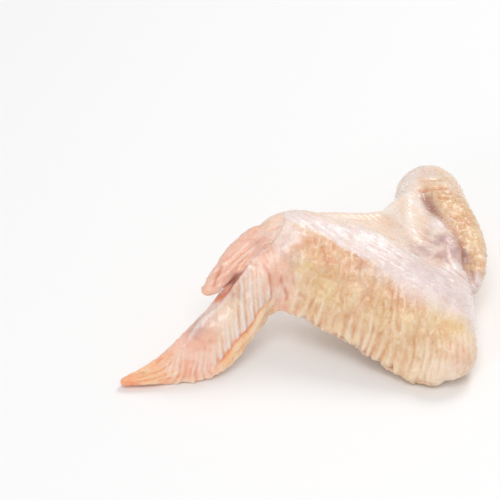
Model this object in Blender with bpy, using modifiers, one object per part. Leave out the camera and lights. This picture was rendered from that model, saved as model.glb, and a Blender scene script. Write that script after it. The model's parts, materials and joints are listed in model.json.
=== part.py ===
"""Raw chicken wing in one skin: tip, flat, web, drumette and alula, resting as it was laid down.

Lengths are in metres after scaling by MM, +Z is up, and the wing rests on Z = 0.
"""
import bmesh
import bpy
import numpy as np

MM = 0.001

# Where the wing lies: shift that puts the middle of its outline over the origin
CENTRE_SHIFT = (-17.74, -47.58, -0.7)

# Lines along the wing in millimetres, each point at a station:
# 0 tip end, 1 heel of the tip, 2 wrist, 3 middle of the flat, 4 elbow, 4.7 line of the drumette bone
TRAILING_LINE = (
    (0.0, (-40.6, 2.9, 2.2)),
    (0.5, (-24.0, 5.5, 2.0)),
    (1.0, (-10.0, 9.5, 4.0)),
    (1.5, (-1.0, 16.0, 11.0)),
    (2.0, (8.0, 24.0, 17.0)),
    (2.3, (14.5, 22.3, 16.0)),
    (3.0, (32.5, 14.5, 10.5)),
    (4.0, (52.0, 6.0, 4.5)),
    (4.4, (58.6, 6.4, 6.2)),
    (4.7, (62.0, 10.0, 8.0)),
)
BONE_LINE = (
    (0.0, (-40.9, 2.9, 2.4)),
    (0.5, (-25.4, 6.4, 5.2)),
    (1.0, (-13.8, 12.6, 14.6)),
    (1.5, (-4.4, 18.8, 20.0)),
    (2.0, (3.0, 27.5, 29.0)),
    (2.3, (10.0, 36.5, 32.4)),
    (3.0, (35.0, 30.0, 25.5)),
    (4.0, (56.0, 21.0, 15.0)),
    (4.7, (62.0, 25.0, 14.6)),
)
LEADING_LINE = (
    (0.0, (-40.9, 3.1, 2.6)),
    (0.5, (-27.5, 7.5, 7.8)),
    (1.0, (-16.5, 13.5, 15.6)),
    (1.5, (-9.4, 20.4, 19.4)),
    (2.0, (0.6, 31.0, 28.0)),
    (2.3, (6.5, 41.0, 32.0)),
    (2.6, (17.5, 46.0, 32.8)),
    (3.2, (38.0, 50.5, 30.8)),
    (4.0, (46.0, 61.0, 26.6)),
    (4.7, (56.0, 78.0, 21.0)),
)

# Half thickness at the two edges, and how far the web sags, by station
TRAILING_EDGE_HALF = (
    (0.0, 0.9),
    (0.4, 1.6),
    (1.0, 2.3),
    (2.0, 2.1),
    (3.0, 1.8),
    (4.0, 3.6),
    (4.4, 6.0),
    (4.7, 7.6),
)
LEADING_EDGE_HALF = (
    (0.0, 0.9),
    (0.4, 1.6),
    (1.0, 2.4),
    (1.6, 2.6),
    (2.0, 3.6),
    (2.6, 2.4),
    (4.0, 2.4),
    (4.7, 4.0),
)
WEB_SAG = ((0.0, 0.0), (2.3, 0.0), (3.0, 2.0), (4.0, -1.0), (4.7, -4.0))
WEB_HALF = 1.3

# Flesh round the bones by station: half width and half height
FLESH_HALF_WIDTH = ((0.0, 3.0), (1.0, 7.5), (2.0, 9.0), (2.5, 10.5), (3.0, 14.0), (4.0, 18.0), (4.7, 18.0))
FLESH_HALF_HEIGHT = (
    (0.0, 1.1),
    (0.4, 2.2),
    (1.0, 3.6),
    (1.6, 4.4),
    (2.0, 6.0),
    (3.0, 8.8),
    (4.0, 9.4),
    (4.7, 8.2),
)

# How far the flesh reaches towards the trailing edge, as a share of the way from the bone
FLESH_REAR_REACH = ((0.0, 0.85), (1.8, 0.85), (2.4, 1.0), (4.7, 1.0))

# Feather-root relief in millimetres: ridges on the tip and furrows on the flat
TIP_RIDGES = 9
TIP_RIDGE_HEIGHT = 0.55
TIP_RIDGE_STATIONS = (0.95, 2.0)
TIP_RIDGE_MIDDLE = 5.0
TIP_RIDGE_REACH = 5.5
FLAT_FURROWS = 20
FLAT_FURROW_DEPTH = 0.6
FLAT_FURROW_STATIONS = (2.25, 4.55)
FLAT_FURROW_MIDDLE = 6.0
FLAT_FURROW_REACH = 8.0

# Creases across the wrist: station, where they start and end from the trailing edge, depth
WRIST_CREASES = (
    (1.94, 3.0, 19.0, 0.8),
    (2.2, 2.0, 12.0, 0.6),
)
CREASE_SPREAD = 0.04

# Drumette: middle of each section, half width across and half height, elbow to shoulder
DRUMETTE = (
    ((62.0, 0.6, 6.6), 8.6, 6.2),
    ((61.6, 13.0, 9.6), 9.8, 9.6),
    ((61.4, 26.0, 12.2), 9.6, 11.2),
    ((61.4, 38.0, 12.6), 9.8, 11.8),
    ((62.4, 53.0, 13.2), 12.2, 13.0),
    ((61.0, 67.0, 13.4), 12.6, 13.0),
    ((59.6, 82.0, 13.4), 11.8, 12.4),
    ((59.4, 94.8, 13.4), 9.4, 10.4),
)

# Muscle filling the corner between the drumette and the web, elbow to shoulder
INNER_MUSCLE = (
    ((58.0, 22.0, 12.6), 7.0, 6.4),
    ((56.6, 36.0, 15.0), 9.0, 7.6),
    ((55.8, 52.0, 16.6), 9.4, 8.2),
    ((54.9, 64.0, 17.8), 8.2, 8.6),
    ((54.6, 74.0, 18.4), 6.6, 8.2),
    ((54.9, 82.0, 17.4), 6.2, 7.4),
)

# Feather-bearing ridge over the outside of the drumette, shoulder to elbow
OUTER_RIDGE = (
    ((51.0, 84.6, 17.6), 4.6, 3.2),
    ((57.4, 81.0, 21.6), 6.8, 4.4),
    ((63.2, 71.8, 22.7), 7.0, 4.4),
    ((68.0, 60.8, 21.9), 6.2, 4.2),
    ((71.4, 50.5, 19.4), 4.8, 4.2),
    ((72.2, 42.0, 16.8), 3.5, 3.8),
    ((70.4, 34.0, 13.4), 2.4, 3.0),
)
OUTER_RIDGE_FACE = (0.45, -0.1, 0.9)

# Alula: middle of each section, half width and half height, wrist to point
ALULA = (
    ((8.0, 38.5, 33.0), 6.4, 4.6),
    ((3.0, 34.5, 33.2), 6.2, 4.4),
    ((-2.2, 30.7, 32.6), 5.0, 3.4),
    ((-6.6, 26.2, 30.2), 4.3, 2.9),
    ((-10.9, 22.2, 27.0), 3.3, 2.3),
    ((-13.6, 20.9, 25.2), 2.2, 1.8),
    ((-15.4, 21.0, 24.4), 1.2, 1.0),
)
ALULA_FACE = (-0.25, -0.45, 0.85)

# Skin over the shapes: size of its cells, and rounds of filling where limbs meet and where folds lie
SKIN_CELL = 0.7
LIMB_ROUNDS = 220
LIMB_FADE = 9.0
FOLD_ROUNDS = 8
FOLD_FADE = 5.0
TRIANGLES = 11400


def clear_scene():
    """Remove every object, so the file holds only the wing."""
    for thing in list(bpy.data.objects):
        bpy.data.objects.remove(thing, do_unlink=True)


def along(table, stations):
    """Smooth curve through (station, value) pairs, read at the given stations."""
    knots = np.array([row[0] for row in table], float)
    values = np.array([row[1] for row in table], float).reshape(len(table), -1)
    steps = np.diff(knots)[:, None]
    slopes = np.diff(values, axis=0) / steps
    inner = (slopes[:-1] * steps[1:] + slopes[1:] * steps[:-1]) / (steps[1:] + steps[:-1])
    tangents = np.vstack([slopes[:1], inner, slopes[-1:]])
    place = np.clip(np.searchsorted(knots, stations, side="right") - 1, 0, len(knots) - 2)
    return hermite(
        values[place],
        values[place + 1],
        tangents[place] * steps[place],
        tangents[place + 1] * steps[place],
        ((stations - knots[place]) / steps[place, 0])[:, None],
    )


def hermite(start, end, leave, arrive, t):
    """Cubic from start to end with the given tangents, for t from 0 to 1."""
    square = t * t
    cube = square * t
    return (
        start * (2 * cube - 3 * square + 1)
        + leave * (cube - 2 * square + t)
        + end * (3 * square - 2 * cube)
        + arrive * (cube - square)
    )


def unit(vectors):
    """Vectors scaled to length one."""
    return vectors / np.maximum(np.linalg.norm(vectors, axis=-1, keepdims=True), 1e-9)


def rounded(distance, reach):
    """Quarter-circle rise from 0 at an edge to 1 at the given reach."""
    part = 1 - np.clip(distance / reach, 0, 1)
    return np.sqrt(np.clip(1 - part * part, 0, 1))


def soft_max(first, second, width):
    """Larger of two values with a rounded change-over."""
    blend = np.clip(0.5 + 0.5 * (first - second) / width, 0, 1)
    return second + (first - second) * blend + width * blend * (1 - blend)


def running_length(points, axis):
    """Length walked along one axis of a grid of points."""
    steps = np.linalg.norm(np.diff(points, axis=axis), axis=-1)
    start = np.zeros_like(np.take(steps, [0], axis=axis))
    return np.concatenate([start, np.cumsum(steps, axis=axis)], axis=axis)


def sheet_normals(sheet):
    """Upward normals of a grid of points."""
    return unit(np.cross(np.gradient(sheet, axis=1), np.gradient(sheet, axis=0)))


def wing_sheet(stations, columns):
    """Middle sheet through the three lines, with its normals, the bone line, the half thickness
    of both edges, and the way from bone to trailing edge for points behind the bone."""
    trailing = along(TRAILING_LINE, stations)
    bone = along(BONE_LINE, stations)
    leading = along(LEADING_LINE, stations)
    trailing_half = along(TRAILING_EDGE_HALF, stations)
    leading_half = along(LEADING_EDGE_HALF, stations)
    trailing = trailing - trailing_half * unit(bone - trailing)
    leading = leading + leading_half * unit(leading - bone)
    back = np.linalg.norm(bone - trailing, axis=1)
    front = np.linalg.norm(leading - bone, axis=1)
    bone_at = (back / (back + front))[:, None, None]
    slope_back = (bone - trailing)[:, None] / bone_at
    slope_front = (leading - bone)[:, None] / (1 - bone_at)
    slope_bone = slope_back * (1 - bone_at) + slope_front * bone_at
    slope_trailing = slope_back + (slope_back - slope_bone) * 0.5
    slope_leading = slope_front + (slope_front - slope_bone) * 0.5
    across = columns[None, :, None]
    rear = hermite(
        trailing[:, None],
        bone[:, None],
        slope_trailing * bone_at,
        slope_bone * bone_at,
        np.clip(across / bone_at, 0, 1),
    )
    fore = hermite(
        bone[:, None],
        leading[:, None],
        slope_bone * (1 - bone_at),
        slope_leading * (1 - bone_at),
        np.clip((across - bone_at) / (1 - bone_at), 0, 1),
    )
    sheet = np.where(across < bone_at, rear, fore)
    web = np.clip((across - bone_at) / (1 - bone_at), 0, 1)
    sag = along(WEB_SAG, stations)[:, None] * np.sin(np.pi * web) ** 2
    sheet = sheet - sheet_normals(sheet) * sag
    behind = np.where(columns < bone_at[..., 0], back[:, None], 0)
    return sheet, sheet_normals(sheet), bone, trailing_half, leading_half, behind


def feather_rows(stations, from_trailing, span, count, middle, reach):
    """Waves along a span of stations, fading at its ends and away from a line beside the edge."""
    station = stations[:, None]
    start, end = span
    inside = np.clip((station - start) / 0.2, 0, 1) * np.clip((end - station) / 0.2, 0, 1)
    wave = np.cos(2 * np.pi * count * (station - start) / (end - start))
    return inside * wave * np.exp(-((from_trailing - middle) / reach) ** 4)


def feather_relief(stations, from_trailing):
    """Ridges on the tip and furrows on the flat, as a change in half thickness."""
    ridges = feather_rows(
        stations,
        from_trailing,
        TIP_RIDGE_STATIONS,
        TIP_RIDGES,
        TIP_RIDGE_MIDDLE,
        TIP_RIDGE_REACH,
    )
    furrows = feather_rows(
        stations,
        from_trailing,
        FLAT_FURROW_STATIONS,
        FLAT_FURROWS,
        FLAT_FURROW_MIDDLE,
        FLAT_FURROW_REACH,
    )
    return TIP_RIDGE_HEIGHT * ridges + FLAT_FURROW_DEPTH * furrows


def wrist_creases(stations, from_trailing):
    """Folds of skin pressed in across the wrist."""
    pressed = np.zeros_like(from_trailing)
    for station, start, end, depth in WRIST_CREASES:
        line = np.exp(-(((stations[:, None] - station) / CREASE_SPREAD) ** 2))
        length = np.clip((from_trailing - start) / 3, 0, 1) * np.clip((end - from_trailing) / 4, 0, 1)
        pressed = pressed + depth * line * length
    return pressed


def sheet_solid(rows, count):
    """Wing sheet given its thickness and closed all round."""
    stations = np.linspace(0, LEADING_LINE[-1][0], rows)
    stations = np.sort(np.concatenate([stations, np.linspace(0, 0.1, 8)[1:-1]]))
    ease = 0.5 - 0.5 * np.cos(np.linspace(0, np.pi, count))
    columns = 0.6 * ease + 0.4 * np.linspace(0, 1, count)
    sheet, normals, bone, trailing_half, leading_half, behind = wing_sheet(stations, columns)
    from_trailing = running_length(sheet, 1)
    from_leading = from_trailing[:, -1:] - from_trailing
    from_end = running_length(sheet, 0)
    to_bone = np.linalg.norm(sheet - bone[:, None], axis=-1)
    half = np.full(to_bone.shape, WEB_HALF)
    trailing_rim = trailing_half * np.exp(-((from_trailing / (2.2 * trailing_half + 3)) ** 2))
    leading_rim = leading_half * np.exp(-((from_leading / (2.0 * leading_half + 2)) ** 2))
    half = soft_max(half, trailing_rim, 0.8)
    half = soft_max(half, leading_rim, 0.8)
    flesh_width = along(FLESH_HALF_WIDTH, stations)
    flesh_height = along(FLESH_HALF_HEIGHT, stations)
    reach = np.where(behind > 0, behind * along(FLESH_REAR_REACH, stations), flesh_width)
    dome = np.clip(1 - (to_bone / reach) ** 2, 0, 1)
    flesh = flesh_height * np.where(behind > 0, 0.7 * dome + 0.3 * np.sqrt(dome), np.sqrt(dome))
    half = soft_max(half, flesh, 2.5)
    half = half + feather_relief(stations, from_trailing)
    half = half - wrist_creases(stations, from_trailing)
    reach_limit = from_trailing[:, -1:] * 0.48
    half = half * rounded(from_trailing, np.minimum(np.maximum(trailing_half, 2.0), reach_limit))
    half = half * rounded(from_leading, np.minimum(np.maximum(leading_half, 2.0), reach_limit))
    half = half * rounded(from_end, 2.2)
    half = half * rounded(from_end[-1:] - from_end, 4.0)
    upper = sheet + normals * half[..., None]
    lower = sheet - normals * half[..., None]
    return np.concatenate([upper, lower[:, -2:0:-1]], axis=1)


def loft(sections, face, rows, sides):
    """Rounded body through sections given as (middle, half width, half height)."""
    middle = np.array([row[0] for row in sections])
    spread = running_length(middle[:, None], 0)[:, 0]
    table = [(spread[i], (*middle[i], sections[i][1], sections[i][2])) for i in range(len(sections))]
    ease = 0.5 - 0.5 * np.cos(np.linspace(0, np.pi, rows))
    place = spread[-1] * (0.6 * ease + 0.4 * np.linspace(0, 1, rows))
    values = along(table, place)
    path = values[:, :3]
    ahead = unit(np.gradient(path, place, axis=0))
    side = unit(np.cross(ahead, unit(np.array(face))))
    lift = np.cross(side, ahead)
    shape = rounded(place, values[0, 3]) * rounded(spread[-1] - place, values[-1, 3])
    turn = np.linspace(0, 2 * np.pi, sides, endpoint=False)
    wide = (values[:, 3] * shape)[:, None, None] * side[:, None] * np.cos(turn)[None, :, None]
    high = (values[:, 4] * shape)[:, None, None] * lift[:, None] * np.sin(turn)[None, :, None]
    return path[:, None] + wide + high


def solid_from_rings(name, rings, collection):
    """Closed mesh from rings of points, the first and last ring drawn together."""
    rows, sides = rings.shape[:2]
    mesh = bpy.data.meshes.new(name)
    index = np.arange(rows * sides).reshape(rows, sides)
    near = index[:-1]
    far = index[1:]
    quads = np.stack([near, np.roll(near, -1, 1), np.roll(far, -1, 1), far], axis=-1).reshape(-1, 4)
    mesh.from_pydata((rings.reshape(-1, 3) * MM).tolist(), [], quads.tolist())
    shape = bmesh.new()
    shape.from_mesh(mesh)
    bmesh.ops.remove_doubles(shape, verts=shape.verts, dist=0.00002)
    bmesh.ops.holes_fill(shape, edges=[edge for edge in shape.edges if edge.is_boundary])
    bmesh.ops.recalc_face_normals(shape, faces=shape.faces)
    shape.to_mesh(mesh)
    shape.free()
    thing = bpy.data.objects.new(name, mesh)
    collection.objects.link(thing)
    return thing


def applied(thing):
    """Bake the modifiers of an object into its mesh."""
    bpy.context.view_layer.update()
    graph = bpy.context.evaluated_depsgraph_get()
    baked = bpy.data.meshes.new_from_object(thing.evaluated_get(graph))
    old = thing.data
    thing.modifiers.clear()
    thing.data = baked
    bpy.data.meshes.remove(old)


def join(body, others):
    """One union of the body with a collection of shapes, which then go."""
    union = body.modifiers.new("union", "BOOLEAN")
    union.operation = "UNION"
    union.operand_type = "COLLECTION"
    union.collection = others
    union.solver = "MANIFOLD"
    applied(body)
    for thing in list(others.objects):
        bpy.data.objects.remove(thing, do_unlink=True)
    bpy.data.collections.remove(others)


def even_skin(body, size):
    """Replace the surface by one even skin over all the shapes."""
    skin = body.modifiers.new("skin", "REMESH")
    skin.mode = "VOXEL"
    skin.voxel_size = size * MM
    applied(body)


def mesh_arrays(mesh):
    """Points, edges and triangle corners of a mesh as arrays."""
    mesh.calc_loop_triangles()
    points = np.empty(len(mesh.vertices) * 3)
    mesh.vertices.foreach_get("co", points)
    edges = np.empty(len(mesh.edges) * 2, int)
    mesh.edges.foreach_get("vertices", edges)
    corners = np.empty(len(mesh.loop_triangles) * 3, int)
    mesh.loop_triangles.foreach_get("vertices", corners)
    return points.reshape(-1, 3), edges.reshape(-1, 2), corners.reshape(-1, 3)


def point_normals(points, corners):
    """Area-weighted normal at each point."""
    a, b, c = (points[corners[:, i]] for i in range(3))
    faces = np.cross(b - a, c - a)
    total = np.zeros_like(points)
    for axis in range(3):
        for corner in range(3):
            total[:, axis] += np.bincount(corners[:, corner], faces[:, axis], len(points))
    return unit(total)


def neighbour_mean(points, edges):
    """Mean of the points joined to each point by an edge."""
    ends = np.concatenate([edges[:, 0], edges[:, 1]])
    others = np.concatenate([edges[:, 1], edges[:, 0]])
    count = np.bincount(ends, minlength=len(points))
    total = np.stack([np.bincount(ends, points[others, axis], len(points)) for axis in range(3)], 1)
    return total / count[:, None]


def nearness(points, sections, fade):
    """One on a loft's surface, falling to nothing over the given distance away from it."""
    table = [(i, (*row[0], row[1])) for i, row in enumerate(sections)]
    path = along(table, np.linspace(0, len(sections) - 1, 50))
    away = np.linalg.norm(points[:, None] / MM - path[None, :, :3], axis=2) - path[None, :, 3]
    return np.clip(1 - (away.min(axis=1) / fade), 0, 1)


def soften(mesh, rounds, limbs, fade):
    """Even out the skin a little, then fill the hollow creases round the limbs just joined."""
    points, edges, corners = mesh_arrays(mesh)
    near = np.max([nearness(points, sections, fade) for sections in limbs], axis=0)
    points = points + 0.35 * (neighbour_mean(points, edges) - points)
    for _ in range(rounds):
        pull = neighbour_mean(points, edges) - points
        normals = point_normals(points, corners)
        lift = near * np.clip((pull * normals).sum(1) - 0.00001, 0, None)
        points = points + 0.7 * lift[:, None] * normals
    mesh.vertices.foreach_set("co", points.ravel())
    mesh.update()


def rest_flat(mesh):
    """Press the underside to flat spots on the resting plane."""
    points = mesh_arrays(mesh)[0] + np.array(CENTRE_SHIFT) * MM
    points[:, 2] = np.maximum(points[:, 2], 0)
    mesh.vertices.foreach_set("co", points.ravel())
    mesh.update()


def thin_out(body, triangles):
    """Bring the skin down to a set number of triangles."""
    body.data.calc_loop_triangles()
    thin = body.modifiers.new("thin", "DECIMATE")
    thin.ratio = triangles / len(body.data.loop_triangles)
    applied(body)


def skin_material():
    """Moist pale skin."""
    material = bpy.data.materials.new("raw chicken skin")
    material.use_nodes = True
    shader = material.node_tree.nodes["Principled BSDF"]
    shader.inputs["Base Color"].default_value = (0.79, 0.54, 0.38, 1.0)
    shader.inputs["Roughness"].default_value = 0.38
    shader.inputs["Coat Weight"].default_value = 0.25
    return material


def build():
    """Make the wing."""
    clear_scene()
    scene = bpy.context.scene
    home = bpy.data.collections.new("chicken wing")
    limbs = bpy.data.collections.new("limbs")
    folds = bpy.data.collections.new("folds")
    scene.collection.children.link(home)
    scene.collection.children.link(limbs)
    scene.collection.children.link(folds)
    wing = solid_from_rings("chicken_wing", sheet_solid(220, 48), home)
    solid_from_rings("drumette", loft(DRUMETTE, (0.0, 0.0, 1.0), 70, 40), limbs)
    solid_from_rings("inner_muscle", loft(INNER_MUSCLE, (0.0, 0.0, 1.0), 50, 32), limbs)
    join(wing, limbs)
    even_skin(wing, SKIN_CELL)
    soften(wing.data, LIMB_ROUNDS, (DRUMETTE, INNER_MUSCLE), LIMB_FADE)
    solid_from_rings("outer_ridge", loft(OUTER_RIDGE, OUTER_RIDGE_FACE, 50, 28), folds)
    solid_from_rings("alula", loft(ALULA, ALULA_FACE, 40, 24), folds)
    join(wing, folds)
    even_skin(wing, SKIN_CELL)
    soften(wing.data, FOLD_ROUNDS, (OUTER_RIDGE, ALULA), FOLD_FADE)
    thin_out(wing, TRIANGLES)
    rest_flat(wing.data)
    wing.data.materials.clear()
    wing.data.materials.append(skin_material())
    return wing


build()
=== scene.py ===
"""Raw chicken wing in its skin, laid on a pale table: tip, alula, flat, web, elbow and drumette.

The wing is worked out in millimetres in a frame of its own, and its points are moved by
CENTRE_SHIFT into the row frame, in metres, when they go into the mesh.
"""

import itertools
import json
import math

import bmesh
import bpy
import numpy as np
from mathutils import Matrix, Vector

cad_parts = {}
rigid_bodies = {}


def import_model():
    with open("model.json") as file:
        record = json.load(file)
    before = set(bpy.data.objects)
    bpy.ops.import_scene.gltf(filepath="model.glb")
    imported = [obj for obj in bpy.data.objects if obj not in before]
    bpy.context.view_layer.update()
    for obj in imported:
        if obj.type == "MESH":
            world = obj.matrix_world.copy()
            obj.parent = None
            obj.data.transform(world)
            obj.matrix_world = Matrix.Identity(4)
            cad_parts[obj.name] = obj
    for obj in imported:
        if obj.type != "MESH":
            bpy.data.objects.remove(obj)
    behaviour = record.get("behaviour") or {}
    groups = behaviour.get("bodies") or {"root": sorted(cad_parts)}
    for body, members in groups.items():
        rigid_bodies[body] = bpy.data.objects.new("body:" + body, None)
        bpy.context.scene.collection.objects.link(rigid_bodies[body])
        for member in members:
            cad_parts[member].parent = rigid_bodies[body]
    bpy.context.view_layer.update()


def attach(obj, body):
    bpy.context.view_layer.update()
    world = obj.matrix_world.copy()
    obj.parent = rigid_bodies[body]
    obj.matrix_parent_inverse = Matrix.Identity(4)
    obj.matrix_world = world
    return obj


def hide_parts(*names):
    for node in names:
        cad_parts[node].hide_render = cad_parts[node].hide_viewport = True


for thing in list(bpy.data.objects):
    bpy.data.objects.remove(thing, do_unlink=True)

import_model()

MM = 0.001

# Shift that puts the middle of the wing's outline over the origin
CENTRE_SHIFT = np.array((-17.74, -47.58, -0.7))

# Lines along the wing, each point at a station:
# 0 tip end, 1 heel of the tip, 2 wrist, 3 middle of the flat, 4 elbow, 4.7 line of the drumette bone
TRAILING_LINE = (
    (0.0, (-40.6, 2.9, 2.2)),
    (0.5, (-24.0, 5.5, 2.0)),
    (1.0, (-10.0, 9.5, 4.0)),
    (1.5, (-1.0, 16.0, 11.0)),
    (2.0, (8.0, 24.0, 17.0)),
    (2.3, (14.5, 22.3, 16.0)),
    (3.0, (32.5, 14.5, 10.5)),
    (4.0, (52.0, 6.0, 4.5)),
    (4.4, (58.6, 6.4, 6.2)),
    (4.7, (62.0, 10.0, 8.0)),
)
BONE_LINE = (
    (0.0, (-40.9, 2.9, 2.4)),
    (0.5, (-25.4, 6.4, 5.2)),
    (1.0, (-13.8, 12.6, 14.6)),
    (1.5, (-4.4, 18.8, 20.0)),
    (2.0, (3.0, 27.5, 29.0)),
    (2.3, (10.0, 36.5, 32.4)),
    (3.0, (35.0, 30.0, 25.5)),
    (4.0, (56.0, 21.0, 15.0)),
    (4.7, (62.0, 25.0, 14.6)),
)
LEADING_LINE = (
    (0.0, (-40.9, 3.1, 2.6)),
    (0.5, (-27.5, 7.5, 7.8)),
    (1.0, (-16.5, 13.5, 15.6)),
    (1.5, (-9.4, 20.4, 19.4)),
    (2.0, (0.6, 31.0, 28.0)),
    (2.3, (6.5, 41.0, 32.0)),
    (2.6, (17.5, 46.0, 32.8)),
    (3.2, (38.0, 50.5, 30.8)),
    (4.0, (46.0, 61.0, 26.6)),
    (4.7, (56.0, 78.0, 21.0)),
)

# Half thickness at the two edges, and how far the web rises over the lines, by station
TRAILING_EDGE_HALF = (
    (0.0, 0.9),
    (0.4, 1.6),
    (1.0, 2.3),
    (2.0, 2.1),
    (3.0, 1.8),
    (4.0, 3.6),
    (4.4, 6.0),
    (4.7, 7.6),
)
LEADING_EDGE_HALF = (
    (0.0, 0.9),
    (0.4, 1.6),
    (1.0, 2.4),
    (1.6, 2.6),
    (2.0, 3.6),
    (2.6, 2.4),
    (4.0, 2.4),
    (4.7, 4.0),
)
WEB_RISE = ((0.0, 0.0), (2.3, 0.0), (3.0, 2.0), (4.0, -1.0), (4.7, -4.0))
WEB_HALF = 1.3

# Flesh round the bones by station: half width, half height, and its reach towards the trailing edge
FLESH_HALF_WIDTH = (
    (0.0, 3.0),
    (1.0, 7.5),
    (2.0, 9.0),
    (2.5, 10.5),
    (3.0, 14.0),
    (4.0, 18.0),
    (4.7, 18.0),
)
FLESH_HALF_HEIGHT = (
    (0.0, 1.1),
    (0.4, 2.2),
    (1.0, 3.6),
    (1.6, 4.4),
    (2.0, 6.0),
    (3.0, 8.8),
    (4.0, 9.4),
    (4.7, 8.2),
)
FLESH_REAR_REACH = ((0.0, 0.85), (1.8, 0.85), (2.4, 1.0), (4.7, 1.0))

# Reach of each rim's bell over about twice its half thickness, change-overs from the web to its rims
# and to the flesh, and rounding of both ends and of the edges, in millimetres
TRAILING_RIM_REACH = 3.0
LEADING_RIM_REACH = 2.0
RIM_BLEND = 0.8
FLESH_BLEND = 2.5
TIP_END_ROUND = 2.2
SHOULDER_END_ROUND = 4.0
EDGE_ROUND_LEAST = 2.0

# Bodies laid against the sheet: middle of each section, half width and half height
DRUMETTE = (
    ((62.0, 0.6, 6.6), 8.6, 6.2),
    ((61.6, 13.0, 9.6), 9.8, 9.6),
    ((61.4, 26.0, 12.2), 9.6, 11.2),
    ((61.4, 38.0, 12.6), 9.8, 11.8),
    ((62.4, 53.0, 13.2), 12.2, 13.0),
    ((61.0, 67.0, 13.4), 12.6, 13.0),
    ((59.6, 82.0, 13.4), 11.8, 12.4),
    ((59.4, 94.8, 13.4), 9.4, 10.4),
)
INNER_MUSCLE = (
    ((58.0, 22.0, 12.6), 7.0, 6.4),
    ((56.6, 36.0, 15.0), 9.0, 7.6),
    ((55.8, 52.0, 16.6), 9.4, 8.2),
    ((54.9, 64.0, 17.8), 8.2, 8.6),
    ((54.6, 74.0, 18.4), 6.6, 8.2),
    ((54.9, 82.0, 17.4), 6.2, 7.4),
)
OUTER_RIDGE = (
    ((51.0, 84.6, 17.6), 4.6, 3.2),
    ((57.4, 81.0, 21.6), 6.8, 4.4),
    ((63.2, 71.8, 22.7), 7.0, 4.4),
    ((68.0, 60.8, 21.9), 6.2, 4.2),
    ((71.4, 50.5, 19.4), 4.8, 4.2),
    ((72.2, 42.0, 16.8), 3.5, 3.8),
    ((70.4, 34.0, 13.4), 2.4, 3.0),
)
ALULA = (
    ((8.0, 38.5, 33.0), 6.4, 4.6),
    ((3.0, 34.5, 33.2), 6.2, 4.4),
    ((-2.2, 30.7, 32.6), 5.0, 3.4),
    ((-6.6, 26.2, 30.2), 4.3, 2.9),
    ((-10.9, 22.2, 27.0), 3.3, 2.3),
    ((-13.6, 20.9, 25.2), 2.2, 1.8),
    ((-15.4, 21.0, 24.4), 1.2, 1.0),
)
UPWARDS = (0.0, 0.0, 1.0)
OUTER_RIDGE_FACE = (0.45, -0.1, 0.9)
ALULA_FACE = (-0.25, -0.45, 0.85)

# Each body with its upright direction and its number of rings and sides: first the limbs, whose
# creases fill up wide, and then the folds laid on them
LIMBS = (
    ("drumette", DRUMETTE, UPWARDS, 70, 40),
    ("inner_muscle", INNER_MUSCLE, UPWARDS, 50, 32),
)
FOLDS = (
    ("outer_ridge", OUTER_RIDGE, OUTER_RIDGE_FACE, 50, 28),
    ("alula", ALULA, ALULA_FACE, 40, 24),
)
SHEET_ROWS = 220
SHEET_COLUMNS = 48

# Stations of the extra rows where the tip's end is rounded
TIP_END_ROWS = np.linspace(0, 0.1, 8)[1:-1]

# Points closer than this are merged, in millimetres
MERGE_REACH = 0.02

# Number of points along a line, and along a body's path, from which distances are measured
LINE_STEPS = 50
BODY_STEPS = 60

# Skin over the bodies, in millimetres: cells of the flesh and of the finished skin, rounds in which
# creases fill up, and how far from a body they do
FLESH_CELL = 0.7
SKIN_CELL = 0.465
LIMB_ROUNDS = 220
LIMB_FADE = 9.0
FOLD_ROUNDS = 24
FOLD_FADE = 5.0

# One round of filling: share of the way to the neighbours' mean, hollow left as it is, and how much
# the skin is evened out before the rounds and before its relief
FILL_SHARE = 0.7
FILL_SLACK = 0.01
EVEN_OUT_SHARE = 0.35
EVEN_SKIN_SHARE = 0.5


def along(table, stations):
    """Smooth curve through (station, value) rows: a cubic between neighbouring rows, whose slope at
    each row is the mean of the slopes on both sides, each weighted by the other side's step."""
    knots = np.array([row[0] for row in table], float)
    values = np.array([row[1] for row in table], float).reshape(len(table), -1)
    steps = np.diff(knots)[:, None]
    slopes = np.diff(values, axis=0) / steps
    inner = (slopes[:-1] * steps[1:] + slopes[1:] * steps[:-1]) / (steps[1:] + steps[:-1])
    tangents = np.vstack([slopes[:1], inner, slopes[-1:]])
    place = np.clip(np.searchsorted(knots, stations, side="right") - 1, 0, len(knots) - 2)
    return cubic(
        values[place],
        values[place + 1],
        tangents[place] * steps[place],
        tangents[place + 1] * steps[place],
        ((stations - knots[place]) / steps[place, 0])[:, None],
    )


def cubic(start, end, leave, arrive, t):
    """Hermite cubic: the start weighs 2t^3 - 3t^2 + 1 and the end 3t^2 - 2t^3, the tangent on leaving
    t^3 - 2t^2 + t and the one on arriving t^3 - t^2."""
    square = t * t
    cube = square * t
    return (
        start * (2 * cube - 3 * square + 1)
        + leave * (cube - 2 * square + t)
        + end * (3 * square - 2 * cube)
        + arrive * (cube - square)
    )


def unit(vectors):
    """Vectors divided by their length."""
    return vectors / np.maximum(np.linalg.norm(vectors, axis=-1, keepdims=True), 1e-9)


def rounded(distance, reach):
    """Quarter circle rising from 0 at an edge to 1 at the given reach."""
    part = 1 - np.clip(distance / reach, 0, 1)
    return np.sqrt(np.clip(1 - part * part, 0, 1))


def ramp(value, start, end):
    """Smooth step 3t^2 - 2t^3 from 0 at start to 1 at end; start may lie past end."""
    t = np.clip((value - start) / (end - start), 0, 1)
    return t * t * (3 - 2 * t)


def hill(value, middle, width):
    """Bell exp(-d^2), where d is the distance from the middle over the width."""
    return np.exp(-(((value - middle) / width) ** 2))


def soft_max(first, second, width):
    """Larger of two values, with a parabola over the change-over."""
    blend = np.clip(0.5 + 0.5 * (first - second) / width, 0, 1)
    return second + (first - second) * blend + width * blend * (1 - blend)


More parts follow.
